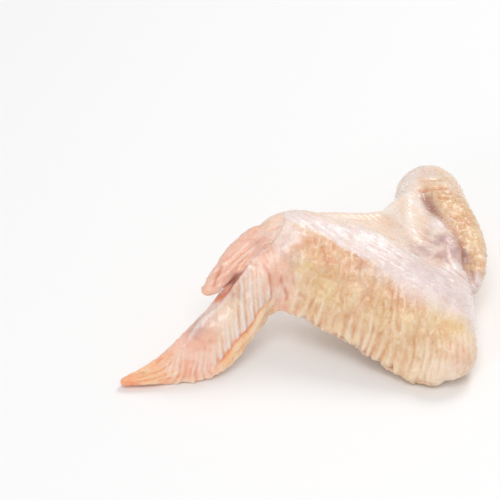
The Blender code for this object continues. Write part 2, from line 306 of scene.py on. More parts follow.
def running_length(points, axis):
    """Length walked along one axis of a grid of points: the running sum of its steps."""
    steps = np.linalg.norm(np.diff(points, axis=axis), axis=-1)
    start = np.zeros_like(np.take(steps, [0], axis=axis))
    return np.concatenate([start, np.cumsum(steps, axis=axis)], axis=axis)


def gathered(count):
    """Steps from 0 to 1, closer at both ends: six tenths of a half cosine and four tenths even."""
    return 0.6 * (0.5 - 0.5 * np.cos(np.linspace(0, np.pi, count))) + 0.4 * np.linspace(0, 1, count)


def downward_normals(sheet):
    """Downward normal of a grid of points: cross product of its directions across and along the wing."""
    return unit(np.cross(np.gradient(sheet, axis=1), np.gradient(sheet, axis=0)))


def wing_sheet(stations, columns):
    """Middle sheet of the wing. Each station's row is two cubics, trailing edge to bone and bone to
    leading edge, with one slope at the bone, and the web part rises by WEB_RISE times a squared sine.
    Returned with its downward normals, the bone line, the half thickness of both edges, and the width
    behind the bone where a point lies there."""
    trailing = along(TRAILING_LINE, stations)
    bone = along(BONE_LINE, stations)
    leading = along(LEADING_LINE, stations)
    trailing_half = along(TRAILING_EDGE_HALF, stations)
    leading_half = along(LEADING_EDGE_HALF, stations)
    trailing = trailing - trailing_half * unit(bone - trailing)
    leading = leading + leading_half * unit(leading - bone)
    back = np.linalg.norm(bone - trailing, axis=1)
    front = np.linalg.norm(leading - bone, axis=1)
    bone_at = (back / (back + front))[:, None, None]
    slope_back = (bone - trailing)[:, None] / bone_at
    slope_front = (leading - bone)[:, None] / (1 - bone_at)
    slope_bone = slope_back * (1 - bone_at) + slope_front * bone_at
    slope_trailing = slope_back + (slope_back - slope_bone) * 0.5
    slope_leading = slope_front + (slope_front - slope_bone) * 0.5
    across = columns[None, :, None]
    rear = cubic(
        trailing[:, None],
        bone[:, None],
        slope_trailing * bone_at,
        slope_bone * bone_at,
        np.clip(across / bone_at, 0, 1),
    )
    fore = cubic(
        bone[:, None],
        leading[:, None],
        slope_bone * (1 - bone_at),
        slope_leading * (1 - bone_at),
        np.clip((across - bone_at) / (1 - bone_at), 0, 1),
    )
    sheet = np.where(across < bone_at, rear, fore)
    web = np.clip((across - bone_at) / (1 - bone_at), 0, 1)
    rise = along(WEB_RISE, stations)[:, None] * np.sin(np.pi * web) ** 2
    sheet = sheet - downward_normals(sheet) * rise
    behind = np.where(columns < bone_at[..., 0], back[:, None], 0)
    return sheet, downward_normals(sheet), bone, trailing_half, leading_half, behind


def sheet_solid(rows, count):
    """Wing sheet thickened to both sides. The flesh is the root of a dome, 1 - (distance / reach)^2, in
    front of the bone, and behind it seven tenths of the dome and three tenths of its root. The edges
    are bells, and quarter circles close it all round."""
    stations = np.linspace(0, LEADING_LINE[-1][0], rows)
    stations = np.sort(np.concatenate([stations, TIP_END_ROWS]))
    sheet, normals, bone, trailing_half, leading_half, behind = wing_sheet(stations, gathered(count))
    from_trailing = running_length(sheet, 1)
    from_leading = from_trailing[:, -1:] - from_trailing
    from_end = running_length(sheet, 0)
    to_bone = np.linalg.norm(sheet - bone[:, None], axis=-1)
    half = np.full(to_bone.shape, WEB_HALF)
    trailing_rim = trailing_half * hill(from_trailing, 0, 2.2 * trailing_half + TRAILING_RIM_REACH)
    leading_rim = leading_half * hill(from_leading, 0, 2.0 * leading_half + LEADING_RIM_REACH)
    half = soft_max(half, trailing_rim, RIM_BLEND)
    half = soft_max(half, leading_rim, RIM_BLEND)
    flesh_width = along(FLESH_HALF_WIDTH, stations)
    flesh_height = along(FLESH_HALF_HEIGHT, stations)
    reach = np.where(behind > 0, behind * along(FLESH_REAR_REACH, stations), flesh_width)
    dome = np.clip(1 - (to_bone / reach) ** 2, 0, 1)
    flesh = flesh_height * np.where(behind > 0, 0.7 * dome + 0.3 * np.sqrt(dome), np.sqrt(dome))
    half = soft_max(half, flesh, FLESH_BLEND)
    almost_half_way = from_trailing[:, -1:] * 0.48
    for away, edge_half in ((from_trailing, trailing_half), (from_leading, leading_half)):
        half = half * rounded(away, np.minimum(np.maximum(edge_half, EDGE_ROUND_LEAST), almost_half_way))
    half = half * rounded(from_end, TIP_END_ROUND)
    half = half * rounded(from_end[-1:] - from_end, SHOULDER_END_ROUND)
    lower = sheet + normals * half[..., None]
    upper = sheet - normals * half[..., None]
    return np.concatenate([lower, upper[:, -2:0:-1]], axis=1)


def loft(sections, face, rows, sides):
    """Ellipses carried along the path through the sections, their upright axis square to the path
    and nearest to the face direction, closed at both ends by quarter circles."""
    middle = np.array([row[0] for row in sections])
    spread = running_length(middle[:, None], 0)[:, 0]
    table = [(spread[i], (*middle[i], sections[i][1], sections[i][2])) for i in range(len(sections))]
    place = spread[-1] * gathered(rows)
    values = along(table, place)
    path = values[:, :3]
    ahead = unit(np.gradient(path, place, axis=0))
    side = unit(np.cross(ahead, unit(np.array(face))))
    lift = np.cross(side, ahead)
    shape = rounded(place, values[0, 3]) * rounded(spread[-1] - place, values[-1, 3])
    turn = np.linspace(0, 2 * np.pi, sides, endpoint=False)
    wide = (values[:, 3] * shape)[:, None, None] * side[:, None] * np.cos(turn)[None, :, None]
    high = (values[:, 4] * shape)[:, None, None] * lift[:, None] * np.sin(turn)[None, :, None]
    return path[:, None] + wide + high


def solid_from_rings(name, rings, collection):
    """Closed mesh from rings of points, the first and last ring drawn together."""
    rows, sides = rings.shape[:2]
    mesh = bpy.data.meshes.new(name)
    index = np.arange(rows * sides).reshape(rows, sides)
    near = index[:-1]
    far = index[1:]
    quads = np.stack([near, np.roll(near, -1, 1), np.roll(far, -1, 1), far], axis=-1).reshape(-1, 4)
    mesh.from_pydata((rings.reshape(-1, 3) * MM).tolist(), [], quads.tolist())
    shape = bmesh.new()
    shape.from_mesh(mesh)
    bmesh.ops.remove_doubles(shape, verts=shape.verts, dist=MERGE_REACH * MM)
    bmesh.ops.holes_fill(shape, edges=[edge for edge in shape.edges if edge.is_boundary])
    bmesh.ops.recalc_face_normals(shape, faces=shape.faces)
    shape.to_mesh(mesh)
    shape.free()
    thing = bpy.data.objects.new(name, mesh)
    collection.objects.link(thing)
    return thing


def applied(thing):
    """Bake the modifiers of an object into its mesh."""
    bpy.context.view_layer.update()
    graph = bpy.context.evaluated_depsgraph_get()
    baked = bpy.data.meshes.new_from_object(thing.evaluated_get(graph))
    old = thing.data
    thing.modifiers.clear()
    thing.data = baked
    bpy.data.meshes.remove(old)


def join(body, others):
    """One union of the body with a collection of shapes, which then go."""
    union = body.modifiers.new("union", "BOOLEAN")
    union.operation = "UNION"
    union.operand_type = "COLLECTION"
    union.collection = others
    union.solver = "MANIFOLD"
    applied(body)
    for thing in list(others.objects):
        bpy.data.objects.remove(thing, do_unlink=True)
    bpy.data.collections.remove(others)


def even_skin(body, size):
    """Replace the surface by one even skin over all the shapes."""
    skin = body.modifiers.new("skin", "REMESH")
    skin.mode = "VOXEL"
    skin.voxel_size = size * MM
    skin.use_smooth_shade = True
    applied(body)


def mesh_arrays(mesh):
    """Points in millimetres, edges and triangle corners of a mesh as arrays."""
    mesh.calc_loop_triangles()
    points = np.empty(len(mesh.vertices) * 3)
    mesh.vertices.foreach_get("co", points)
    edges = np.empty(len(mesh.edges) * 2, int)
    mesh.edges.foreach_get("vertices", edges)
    corners = np.empty(len(mesh.loop_triangles) * 3, int)
    mesh.loop_triangles.foreach_get("vertices", corners)
    return points.reshape(-1, 3) / MM, edges.reshape(-1, 2), corners.reshape(-1, 3)


def point_normals(points, corners):
    """Normal at each point: sum of the cross products of the triangles that meet there."""
    a, b, c = (points[corners[:, i]] for i in range(3))
    faces = np.cross(b - a, c - a)
    total = np.zeros_like(points)
    for axis in range(3):
        for corner in range(3):
            total[:, axis] += np.bincount(corners[:, corner], faces[:, axis], len(points))
    return unit(total)


def neighbour_mean(values, edges):
    """Mean of the values at the points joined to each point by an edge."""
    ends = np.concatenate([edges[:, 0], edges[:, 1]])
    others = np.concatenate([edges[:, 1], edges[:, 0]])
    count = np.bincount(ends, minlength=len(values))
    total = np.stack([np.bincount(ends, column[others], len(values)) for column in values.T], 1)
    return total / count[:, None]


def beside(points, sections):
    """Distance in millimetres from a body's surface, and the way along it from 0 to 1."""
    table = [(i, (*row[0], row[1])) for i, row in enumerate(sections)]
    path = along(table, np.linspace(0, len(sections) - 1, BODY_STEPS))
    away = np.linalg.norm(points[:, None] - path[None, :, :3], axis=2) - path[None, :, 3]
    return away.min(axis=1), away.argmin(axis=1) / (BODY_STEPS - 1)


def soften(mesh, rounds, limbs, fade):
    """Even out the skin a little, then fill the hollow creases round the bodies just joined: each
    round lifts a point along its normal by part of its distance under its neighbours' mean."""
    points, edges, corners = mesh_arrays(mesh)
    near = np.max([np.clip(1 - beside(points, body)[0] / fade, 0, 1) for body in limbs], axis=0)
    points = points + EVEN_OUT_SHARE * (neighbour_mean(points, edges) - points)
    for _ in range(rounds):
        pull = neighbour_mean(points, edges) - points
        normals = point_normals(points, corners)
        lift = near * np.clip((pull * normals).sum(1) - FILL_SLACK, 0, None)
        points = points + FILL_SHARE * lift[:, None] * normals
    mesh.vertices.foreach_set("co", (points * MM).ravel())
    mesh.update()


def laid_on(wing, bodies, cell, rounds, fade):
    """Bodies joined to the wing under one even skin, the creases beside them filled."""
    others = bpy.data.collections.new("bodies")
    bpy.context.scene.collection.children.link(others)
    for name, sections, face, rows, sides in bodies:
        solid_from_rings(name, loft(sections, face, rows, sides), others)
    join(wing, others)
    even_skin(wing, cell)
    soften(wing.data, rounds, [body[1] for body in bodies], fade)


def bare_wing(collection):
    """The wing's shape before its skin is worked: the sheet with the drumette and the muscle, then
    the outer ridge and the alula laid on."""
    wing = solid_from_rings("wing_skin", sheet_solid(SHEET_ROWS, SHEET_COLUMNS), collection)
    laid_on(wing, LIMBS, FLESH_CELL, LIMB_ROUNDS, LIMB_FADE)
    laid_on(wing, FOLDS, SKIN_CELL, FOLD_ROUNDS, FOLD_FADE)
    return wing


# Length of the table of random values, a power of two, and the primes that spread cells over it
SCATTER_LENGTH = 4096
SCATTER_PRIMES = np.array((73856093, 19349663, 83492791))


def scattered(cells, seed):
    """Value from -1 to 1 for each whole-numbered cell, looked up in a table of random values."""
    table = np.random.default_rng(seed).uniform(-1, 1, SCATTER_LENGTH)
    factors = SCATTER_PRIMES[: cells.shape[1]]
    return table[np.bitwise_xor.reduce(cells * factors, axis=1) & (SCATTER_LENGTH - 1)]


def mottle(places, seed):
    """Smooth noise from -1 to 1: scattered values at the corners of unit cells, blended along each
    axis by 3t^2 - 2t^3."""
    cells = np.floor(places).astype(np.int64)
    part = places - cells
    part = part * part * (3 - 2 * part)
    total = np.zeros(len(places))
    for corner in itertools.product((0, 1), repeat=places.shape[1]):
        corner = np.array(corner)
        weight = np.prod(np.where(corner, part, 1 - part), axis=1)
        total += weight * scattered(cells + corner, seed)
    return total


def pimples(places, seed, jitter=0.35):
    """Distance from the nearest of a set of spots, one to a unit cell and moved off its middle by up
    to the jitter."""
    cells = np.floor(places).astype(np.int64)
    nearest = np.full(len(places), 9.0)
    for step in itertools.product((-1, 0, 1), repeat=places.shape[1]):
        spot = cells + np.array(step)
        moved = np.stack([scattered(spot, seed + axis) for axis in range(places.shape[1])], 1)
        away = places - spot - 0.5 - jitter * moved
        nearest = np.minimum(nearest, (away * away).sum(1))
    return np.sqrt(nearest)


def ridged(places, seed):
    """Thin crests from -1 to 1 where smooth noise passes through nought: 1 - 4 |noise|."""
    return np.clip(1 - 4 * np.abs(mottle(places, seed)), -1, 1)


def stacked(*columns):
    """Columns of numbers side by side."""
    return np.stack(columns, axis=1)


# Grid on which the middle sheet is searched, the number of lots in which the points are, and how far
# past the first and last station a point may lie
SEARCH_ROWS = 240
SEARCH_COLUMNS = 70
SEARCH_LOTS = 100
STATION_OVERRUN = (-0.3, 2.0)


def lie_on_sheet(points):
    """Place of each point on the middle sheet: station, millimetres along the wing, from the trailing
    edge and from the bone line, and height over the sheet. It is the nearest grid point's, plus the
    offset from that point along the sheet's two directions."""
    stations = np.linspace(0, LEADING_LINE[-1][0], SEARCH_ROWS)
    columns = np.linspace(0, 1, SEARCH_COLUMNS)
    sheet, normals, bone, _, _, _ = wing_sheet(stations, columns)
    from_trailing = running_length(sheet, 1)
    bone_column = np.linalg.norm(sheet - bone[:, None], axis=-1).argmin(axis=1)
    bone_from_trailing = from_trailing[np.arange(len(stations)), bone_column]
    walked = running_length(((sheet[:, 0] + bone) / 2)[:, None], 0)[:, 0]
    grid = sheet.reshape(-1, 3).astype(np.float32)
    square = (grid * grid).sum(1)
    parts = np.array_split(points.astype(np.float32), SEARCH_LOTS)
    nearest = np.concatenate([(square - 2 * part @ grid.T).argmin(1) for part in parts])
    row, column = np.divmod(nearest, len(columns))
    offset = points - sheet[row, column]
    across = unit(np.gradient(sheet, axis=1))[row, column]
    down = np.gradient(sheet, stations, axis=0)[row, column]
    slant = (down * across).sum(1)
    upright = down - across * slant[:, None]
    step = (offset * upright).sum(1) / np.maximum((upright * upright).sum(1), 1.0)
    step = np.clip(step, *STATION_OVERRUN)
    station = stations[row] + step
    last = len(stations) - 1
    pace = (walked[last] - walked[last - 1]) / (stations[last] - stations[last - 1])
    way = np.interp(station, stations, walked) + pace * np.maximum(station - stations[last], 0)
    trailing = from_trailing[row, column] + (offset * across).sum(1) - slant * np.clip(step, -0.3, 0.3)
    height = -(offset * normals[row, column]).sum(1)
    return Place(points, station, way, trailing, trailing - bone_from_trailing[row], height)


# Lean of the feather rows, in millimetres towards the elbow for each millimetre from the edge, by x
ROW_LEAN = (
    (-45.0, 2.2),
    (-35.0, 1.5),
    (-27.0, 0.8),
    (-19.0, 0.25),
    (-12.0, -0.08),
    (-4.0, -0.16),
    (6.0, -0.16),
    (14.0, 0.05),
    (22.0, 0.18),
    (42.0, 0.2),
    (52.0, 0.08),
    (60.0, 0.0),
    (80.0, 0.0),
)

# Way from the trailing edge to the foot of the tip's feather rows, by station
ROW_FOOT = (
    (0.0, 2.0),
    (0.9, 3.5),
    (1.0, 4.7),
    (1.2, 7.0),
    (1.4, 6.7),
    (1.5, 6.4),
    (1.7, 7.9),
    (2.0, 8.0),
    (7.0, 8.0),
)

# Lower and upper edge of the pale tendon band, in millimetres from the bone line, by station
BAND_LOW = (
    (0.0, 0.0),
    (2.3, 0.0),
    (2.6, -1.0),
    (2.86, 2.5),
    (3.1, 0.6),
    (3.4, -1.6),
    (4.1, -2.0),
    (4.9, -10.0),
    (5.4, -14.0),
    (7.0, -20.0),
)
BAND_HIGH = (
    (0.0, 4.0),
    (2.3, 5.0),
    (2.7, 7.5),
    (3.0, 10.5),
    (3.3, 11.0),
    (3.8, 11.5),
    (4.1, 14.0),
    (5.0, 9.0),
    (7.0, 4.0),
)

# Turn that sets the cells of the soft patches askew to the wing, so that no patch has a straight side
ASKEW = np.array(((0.6, 0.64, 0.48), (-0.8, 0.48, 0.36), (0.0, -0.6, 0.8)))

# Directions across and along the fine streaks of the web and the tendon band, and across the alula,
# and the alula's length in millimetres
STREAK_ACROSS = np.array((0.51, 0.53, 0.67))
STREAK_ALONG = np.array((0.85, -0.25, -0.46))
ALULA_ACROSS = np.array((-0.62, 0.48, 0.62))
ALULA_LENGTH = 30.0

# Folds pressed into the skin: points along each, then its width and depth in millimetres
WRIST_CREASE = (
    (3.8, 24.2, 33.7),
    (5.0, 22.8, 32.4),
    (6.0, 21.4, 30.7),
    (6.4, 20.4, 27.6),
    (6.5, 19.5, 24.2),
    (5.6, 18.6, 18.0),
)
WRIST_FOLDS = (
    (WRIST_CREASE, 0.6, 0.55),
    (((9.4, 23.0, 30.6), (10.4, 21.5, 27.2), (11.4, 21.5, 23.0), (11.4, 21.4, 19.8)), 0.6, 0.5),
    (((7.4, 27.0, 35.0), (8.2, 24.6, 33.0), (8.2, 22.6, 29.4), (8.8, 21.6, 25.4)), 0.5, 0.3),
    (((-0.6, 24.8, 33.6), (1.8, 23.4, 33.2), (3.6, 23.4, 32.8)), 0.5, 0.2),
    (((12.6, 24.4, 31.6), (13.6, 22.8, 28.0), (14.2, 22.2, 23.4)), 0.5, 0.25),
)
ELBOW_FOLDS = (
    (((60.6, 41.8, 24.8), (63.0, 36.6, 24.1), (65.9, 33.4, 22.7), (68.5, 32.4, 20.1)), 0.6, 0.3),
    (((58.6, 36.2, 24.3), (61.8, 33.2, 24.2), (65.9, 30.4, 22.7), (68.6, 29.4, 20.4)), 0.6, 0.25),
    (((61.8, 39.2, 24.4), (64.4, 35.0, 23.6), (67.2, 33.0, 21.6), (69.6, 32.2, 18.4)), 0.5, 0.25),
    (((60.0, 30.6, 25.0), (63.4, 28.4, 23.9), (66.8, 26.4, 21.8)), 0.6, 0.2),
)
SHOULDER_CREASE = (
    (53.6, 71.6, 26.6),
    (57.6, 71.0, 27.0),
    (60.2, 70.8, 27.6),
    (62.8, 71.6, 27.5),
    (65.6, 74.0, 26.2),
)
SHOULDER_FOLDS = (
    (SHOULDER_CREASE, 0.9, 0.8),
    (((55.4, 76.0, 26.0), (58.4, 75.6, 27.2), (61.4, 76.4, 27.3), (64.0, 78.4, 26.0)), 0.8, 0.45),
    (((60.4, 66.8, 27.0), (63.4, 66.0, 27.2), (67.0, 67.0, 26.0)), 0.7, 0.4),
)

# Lines on the skin: the slit under the alula, the groove that parts its lobes, the groove over the
# tip's rim, the ridge of the tip's bone, the fold over the drumette, the valley beside the small
# muscle and the edge of the tendon
ALULA_FOLD = (
    (-0.2, 23.7, 33.1),
    (-2.0, 22.4, 32.3),
    (-4.0, 22.2, 29.7),
    (-5.9, 21.4, 27.8),
    (-8.2, 20.6, 26.2),
    (-9.9, 19.9, 25.1),
)
ALULA_GROOVE = (
    (-8.4, 25.2, 32.2),
    (-9.5, 23.7, 31.1),
    (-10.8, 21.3, 29.1),
    (-11.8, 19.5, 26.9),
)
RIM_GROOVE = (
    (-11.4, 7.4, 5.4),
    (-9.5, 8.1, 7.0),
    (-7.9, 8.8, 8.6),
    (-5.5, 10.3, 11.8),
    (-2.7, 12.3, 14.2),
    (-0.1, 14.6, 15.8),
    (1.7, 15.4, 18.6),
    (3.5, 16.9, 21.0),
    (4.6, 18.0, 22.6),
)
BONE_RIDGE = (
    (-0.4, 23.0, 32.4),
    (-1.9, 21.9, 30.6),
    (-5.5, 20.0, 26.3),
    (-9.9, 16.9, 22.8),
    (-14.3, 13.6, 19.6),
    (-18.0, 10.2, 15.9),
    (-22.0, 8.0, 11.0),
)
DRUMETTE_FOLD = (
    (55.4, 73.4, 26.6),
    (56.4, 70.2, 26.4),
    (57.4, 66.6, 26.2),
    (59.4, 60.6, 26.2),
    (63.0, 54.6, 26.2),
    (66.1, 49.8, 25.3),
    (68.2, 45.1, 22.6),
    (68.7, 41.1, 21.3),
    (69.0, 38.6, 20.1),
    (70.4, 36.7, 18.2),
    (70.8, 34.1, 17.1),
    (69.8, 28.0, 18.6),
)
MUSCLE_VALLEY = (
    (56.1, 54.0, 25.6),
    (56.7, 48.2, 24.5),
    (57.7, 42.9, 24.7),
    (59.4, 38.6, 24.3),
    (61.4, 33.8, 23.7),
)
TENDON_EDGE = (
    (21.5, 41.9, 39.2),
    (29.8, 39.8, 37.5),
    (39.4, 37.4, 35.5),
    (43.9, 33.8, 34.4),
    (48.0, 30.7, 32.4),
    (54.0, 28.6, 29.2),
    (58.7, 30.2, 26.3),
    (63.9, 31.8, 23.6),
)

# Deepest place of the fold beside the drumette, and how far its painted shade reaches
FOLD_DEEPEST = (58.0, 64.0, 26.0)
FOLD_DEEPEST_REACH = 6.0

# Rounded lumps under the thin skin of the muscle and along the drumette's fold: middle, radius and height
LUMPS = (
    ((56.8, 43.3, 24.0), 1.5, 0.5),
    ((59.6, 54.6, 25.9), 4.2, 1.0),
    ((64.0, 47.0, 25.2), 4.5, 0.6),
    ((61.0, 69.0, 27.1), 1.5, 0.45),
    ((62.7, 63.5, 26.8), 1.6, 0.5),
    ((65.0, 59.4, 26.2), 1.6, 0.5),
    ((67.4, 55.7, 25.6), 1.5, 0.45),
    ((68.9, 52.0, 24.4), 1.4, 0.4),
    ((69.7, 45.1, 22.1), 1.3, 0.3),
    ((53.0, 75.0, 26.0), 2.0, 0.3),
)

# Widths of the lines and depths or heights to which they are worked, in millimetres
RIM_GROOVE_WIDTH = 0.8
RIM_GROOVE_DEPTH = 0.18
BONE_RIDGE_WIDTH = 0.9
BONE_RIDGE_HEIGHT = 0.8
TENDON_WIDTH = 0.9
TENDON_HEIGHT = 0.45
ALULA_GROOVE_WIDTH = 0.7
ALULA_GROOVE_DEPTH = 0.5
ALULA_FOLD_WIDTH = 0.8
ALULA_FOLD_DEPTH = 0.6
DRUMETTE_FOLD_WIDTH = 1.3
DRUMETTE_FOLD_DEPTH = 0.9
MUSCLE_VALLEY_WIDTH = 2.0
MUSCLE_VALLEY_DEPTH = 0.35

# Rolled rim of the tip: its width and height, and its way back from the foot of the rows
ROLLED_RIM_WIDTH = 1.5
ROLLED_RIM_HEIGHT = 0.5
ROLLED_RIM_BACK = 2.4

# Feather rows, fan folds and tufts: spacing, height and reach in millimetres, width as a share of
# the spacing
TIP_ROW_SPACING = 2.5
TIP_ROW_HEIGHT = 0.7
TIP_ROW_REACH = 9.5
TIP_ROW_WIDTH = 0.22
TIP_FAN_SPACING = 2.6
TIP_FAN_HEIGHT = 0.42
TIP_FAN_REACH = 12.0
TIP_FAN_WIDTH = 0.32
FLAT_TUFT_SPACING = 2.7
FLAT_TUFT_HEIGHT = 1.0
FLAT_TUFT_REACH = 11.0
FLAT_TUFT_WIDTH = 0.43
ELBOW_TUFT_SPACING = 1.8
ELBOW_TUFT_HEIGHT = 0.66
ELBOW_TUFT_REACH = 13.0

# Fine relief of each area, as heights in millimetres
STRAND_HEIGHT = 0.26
TUFT_SPLIT_HEIGHT = 0.12
FLECK_HEIGHT = 0.22
CRUMPLE_DEPTH = 0.16
BULGE_HEIGHT = 0.34
BAND_STREAK_HEIGHT = 0.16
BAND_TEAR_HEIGHT = 0.06
BAND_CROSS_HEIGHT = 0.08
WEB_WRINKLE_HEIGHT = 0.045
WEB_WRINKLE_SPACING = 1.15
FAT_LUMP_HEIGHT = 0.12
FAT_GRAIN_HEIGHT = 0.13
RIDGE_GRAIN_HEIGHT = 0.08
OUTSIDE_GRAIN_HEIGHT = 0.1
DRAPE_HEIGHT = 0.22
ALULA_LINE_HEIGHT = 0.26
FLAT_NICK_HEIGHT = 0.6
TIP_NICK_HEIGHT = 0.42
NICK_REACH = 1.6
SWELL_HEIGHT = 0.22
SKIN_CRUMPLE_HEIGHT = 0.14
WRIST_CRUMPLE_HEIGHT = 0.1
WRIST_WRINKLE_HEIGHT = 0.16

# Stations over which each area of the tip and the flat begins, and over which it ends
TIP_ROW_SPAN = ((0.72, 1.05), (1.9, 2.02))
TIP_GAP_SPAN = ((0.8, 1.1), (1.9, 2.02))
TIP_FAN_SPAN = ((0.3, 0.6), (0.85, 1.02))
BETWEEN_FAN_SPAN = ((0.2, 0.5), (0.85, 1.02))
STRAND_SPAN = ((0.05, 0.25), (0.35, 0.7))
ROLLED_RIM_SPAN = ((0.85, 1.1), (1.9, 2.05))
TIP_NICK_SPAN = ((0.3, 0.7), (1.8, 2.0))
FLAT_NICK_SPAN = ((2.2, 2.35), (4.0, 4.4))


def within(value, rise, fall):
    """Share that climbs from 0 to 1 over one stretch of the value and falls back over a later one."""
    return ramp(value, *rise) * ramp(value, fall[1], fall[0])


def read(table, values):
    """Smooth curve through a table of two columns, held at its first and last row."""
    return along(table, np.clip(values, table[0][0], table[-1][0]))[:, 0]


def from_line(points, line):
    """Distance in millimetres from a smooth curve through the given points, the way along it from 0
    to 1, and how far the point lies to the left of it, as seen from above."""
    path = along([(i, spot) for i, spot in enumerate(line)], np.linspace(0, len(line) - 1, LINE_STEPS))
    away = np.linalg.norm(points[:, None] - path[None], axis=2)
    nearest = away.argmin(axis=1)
    ahead = unit(np.gradient(path, axis=0))[nearest]
    left = unit(np.cross(np.array(UPWARDS), ahead))
    beyond = ((points - path[nearest]) * left).sum(1)
    return away.min(axis=1), nearest / (LINE_STEPS - 1), beyond


def pressed_line(points, line, width):
    """Groove along a curve: a bell across it, tapering over its last fifth at both ends."""
    away, way, _ = from_line(points, line)
    return hill(away, 0, width) * within(way, (0, 0.2), (0.8, 1))


class Place:
    """Fields of the skin points, one value a point: where it lies, in stations and millimetres, and its
    share from 0 to 1 in each area of the wing, whose limits are in the same units."""

    def __init__(self, points, station, way, trailing, from_bone, height):
        self.points = points
        self.askew = points @ ASKEW
        self.station = station
        self.way = way
        self.trailing = trailing
        self.from_bone = from_bone
        self.height = height
        self.row = points[:, 0] - read(ROW_LEAN, points[:, 0]) * trailing
        self.foot = read(ROW_FOOT, station)
        self.band_low = read(BAND_LOW, station)
        self.band_high = read(BAND_HIGH, station)
        self.across = points @ STREAK_ACROSS
        self.stretch = points @ STREAK_ALONG
        self.broad = mottle(self.askew / 9, seed=81)
        self.patch = mottle(self.askew / 4, seed=82)
        self.drumette, self.drumette_way = beside(points, DRUMETTE)
        self.ridge, self.ridge_way = beside(points, OUTER_RIDGE)
        self.muscle, self.muscle_way = beside(points, INNER_MUSCLE)
        self.alula, self.alula_way = beside(points, ALULA)
        self.top = ramp(height, -1.0, 1.0)
        self.on_alula = ramp(self.alula, 1.6, 0.5)
        self.off_alula = 1 - self.on_alula
        self.on_ridge = ramp(self.ridge, 1.8, 0.6)
        self.on_muscle = ramp(self.muscle, 2.5, 1.0)
        self.outside = ramp(from_line(points, DRUMETTE_FOLD)[2], -0.5, 1.0) * ramp(points[:, 0], 58, 64)
        self.in_tip = ramp(station, 2.05, 1.85) * self.off_alula
        self.on_flat = ramp(station, 2.08, 2.3) * self.off_alula * (1 - self.on_ridge)
        self.web = ramp(from_bone, 8, 13) * ramp(self.drumette, 1, 4) * self.off_alula
        self.web = self.web * ramp(station, 2.1, 2.5)
        self.sheath = self.in_band()

    def in_band(self):
        """Share of each point in the tendon band, its lower edge ragged."""
        torn = mottle(stacked(self.row / 2.2, self.trailing / 3.5, self.height / 3), seed=83)
        broad = mottle(self.askew / 7, seed=81)
        wobble = 1.6 * broad + 2.4 * torn * ramp(self.points[:, 0], 54, 42)
        soft = 1.7 + 2.0 * ramp(self.points[:, 0], 26, 42)
        inside = ramp(self.from_bone + wobble, self.band_low - soft, self.band_low + 1.3 * soft)
        inside = inside * ramp(self.from_bone + 0.4 * wobble, self.band_high + 1.8, self.band_high - 1.0)
        return inside * ramp(self.station, 2.1, 2.45) * self.top * self.off_alula


def tufts(row, up, spacing, reach, width, seed):
    """Skin drawn up round the feather roots, one tuft to a row: a bell across the row, exp(-(d/w)^2),
    steeper on its far side. The width is a share of the spacing and falls with the root of the way
    left to the tuft's own reach, and the height falls with its power 0.6."""
    count = np.floor(row / spacing + 0.5).astype(np.int64)
    highest = np.zeros(len(row))
    for step in (-1, 0, 1):
        aside, further, higher = (scattered((count + step)[:, None], seed + i) for i in range(3))
        offset = row / spacing - count - step - 0.2 * aside
        part = np.clip(up / (reach * (1 + 0.3 * further)), 0, 1)
        half = (width * np.sqrt(1 - part) + 0.04) * np.where(offset > 0, 0.75, 1.1)
        bell = np.exp(-((offset / half) ** 2)) * (1 - part) ** 0.6 * (0.8 + 0.3 * higher)
        highest = np.maximum(highest, bell)
    return highest


def tip_rows(place):
    """Feather rows of the tip, from the foot of each row towards the bone ridge, with a fainter one
    between each two."""
    row = place.row + 0.25 * mottle(stacked(place.row / 6, place.trailing / 6), seed=11)
    up = place.trailing - place.foot
    rows = tufts(row, up, TIP_ROW_SPACING, TIP_ROW_REACH, TIP_ROW_WIDTH, seed=12)
    between = row + 0.5 * TIP_ROW_SPACING
    faint = tufts(between, up - 1, TIP_ROW_SPACING, 0.6 * TIP_ROW_REACH, 0.7 * TIP_ROW_WIDTH, seed=17)
    area = within(place.station, *TIP_ROW_SPAN) * place.off_alula * place.top
    return np.maximum(rows, 0.6 * faint) * area * ramp(up, -0.3, 0.7)


def tip_gaps(place):
    """Share of each point in the gaps between the tip's feather rows."""
    up = place.trailing - place.foot
    area = within(place.station, *TIP_GAP_SPAN) * place.off_alula * place.top
    near_foot = within(up, (-0.6, 0.8), (0.5 * TIP_ROW_REACH, TIP_ROW_REACH))
    return area * near_foot * ramp(tip_rows(place), 0.3, 0.05)


def tip_fan(place):
    """Folds of the tip that fan out from the lower end of its bone ridge to its trailing edge."""
    row = place.row + 1.2 * mottle(stacked(place.row / 6, place.trailing / 4), seed=13)
    folds = tufts(row, place.trailing - 0.3, TIP_FAN_SPACING, TIP_FAN_REACH, TIP_FAN_WIDTH, seed=14)
    return folds * within(place.station, *TIP_FAN_SPAN) * place.off_alula * place.top


def tip_strands(place):
    """Strands of skin, -1 to 1, that run out to the point of the tip: even steps between its
    trailing edge and its bone line."""
    part = place.trailing / np.maximum(place.trailing - place.from_bone, 2.0)
    return mottle(stacked(part * 9 + 0.04 * place.way, place.way / 8), seed=15)


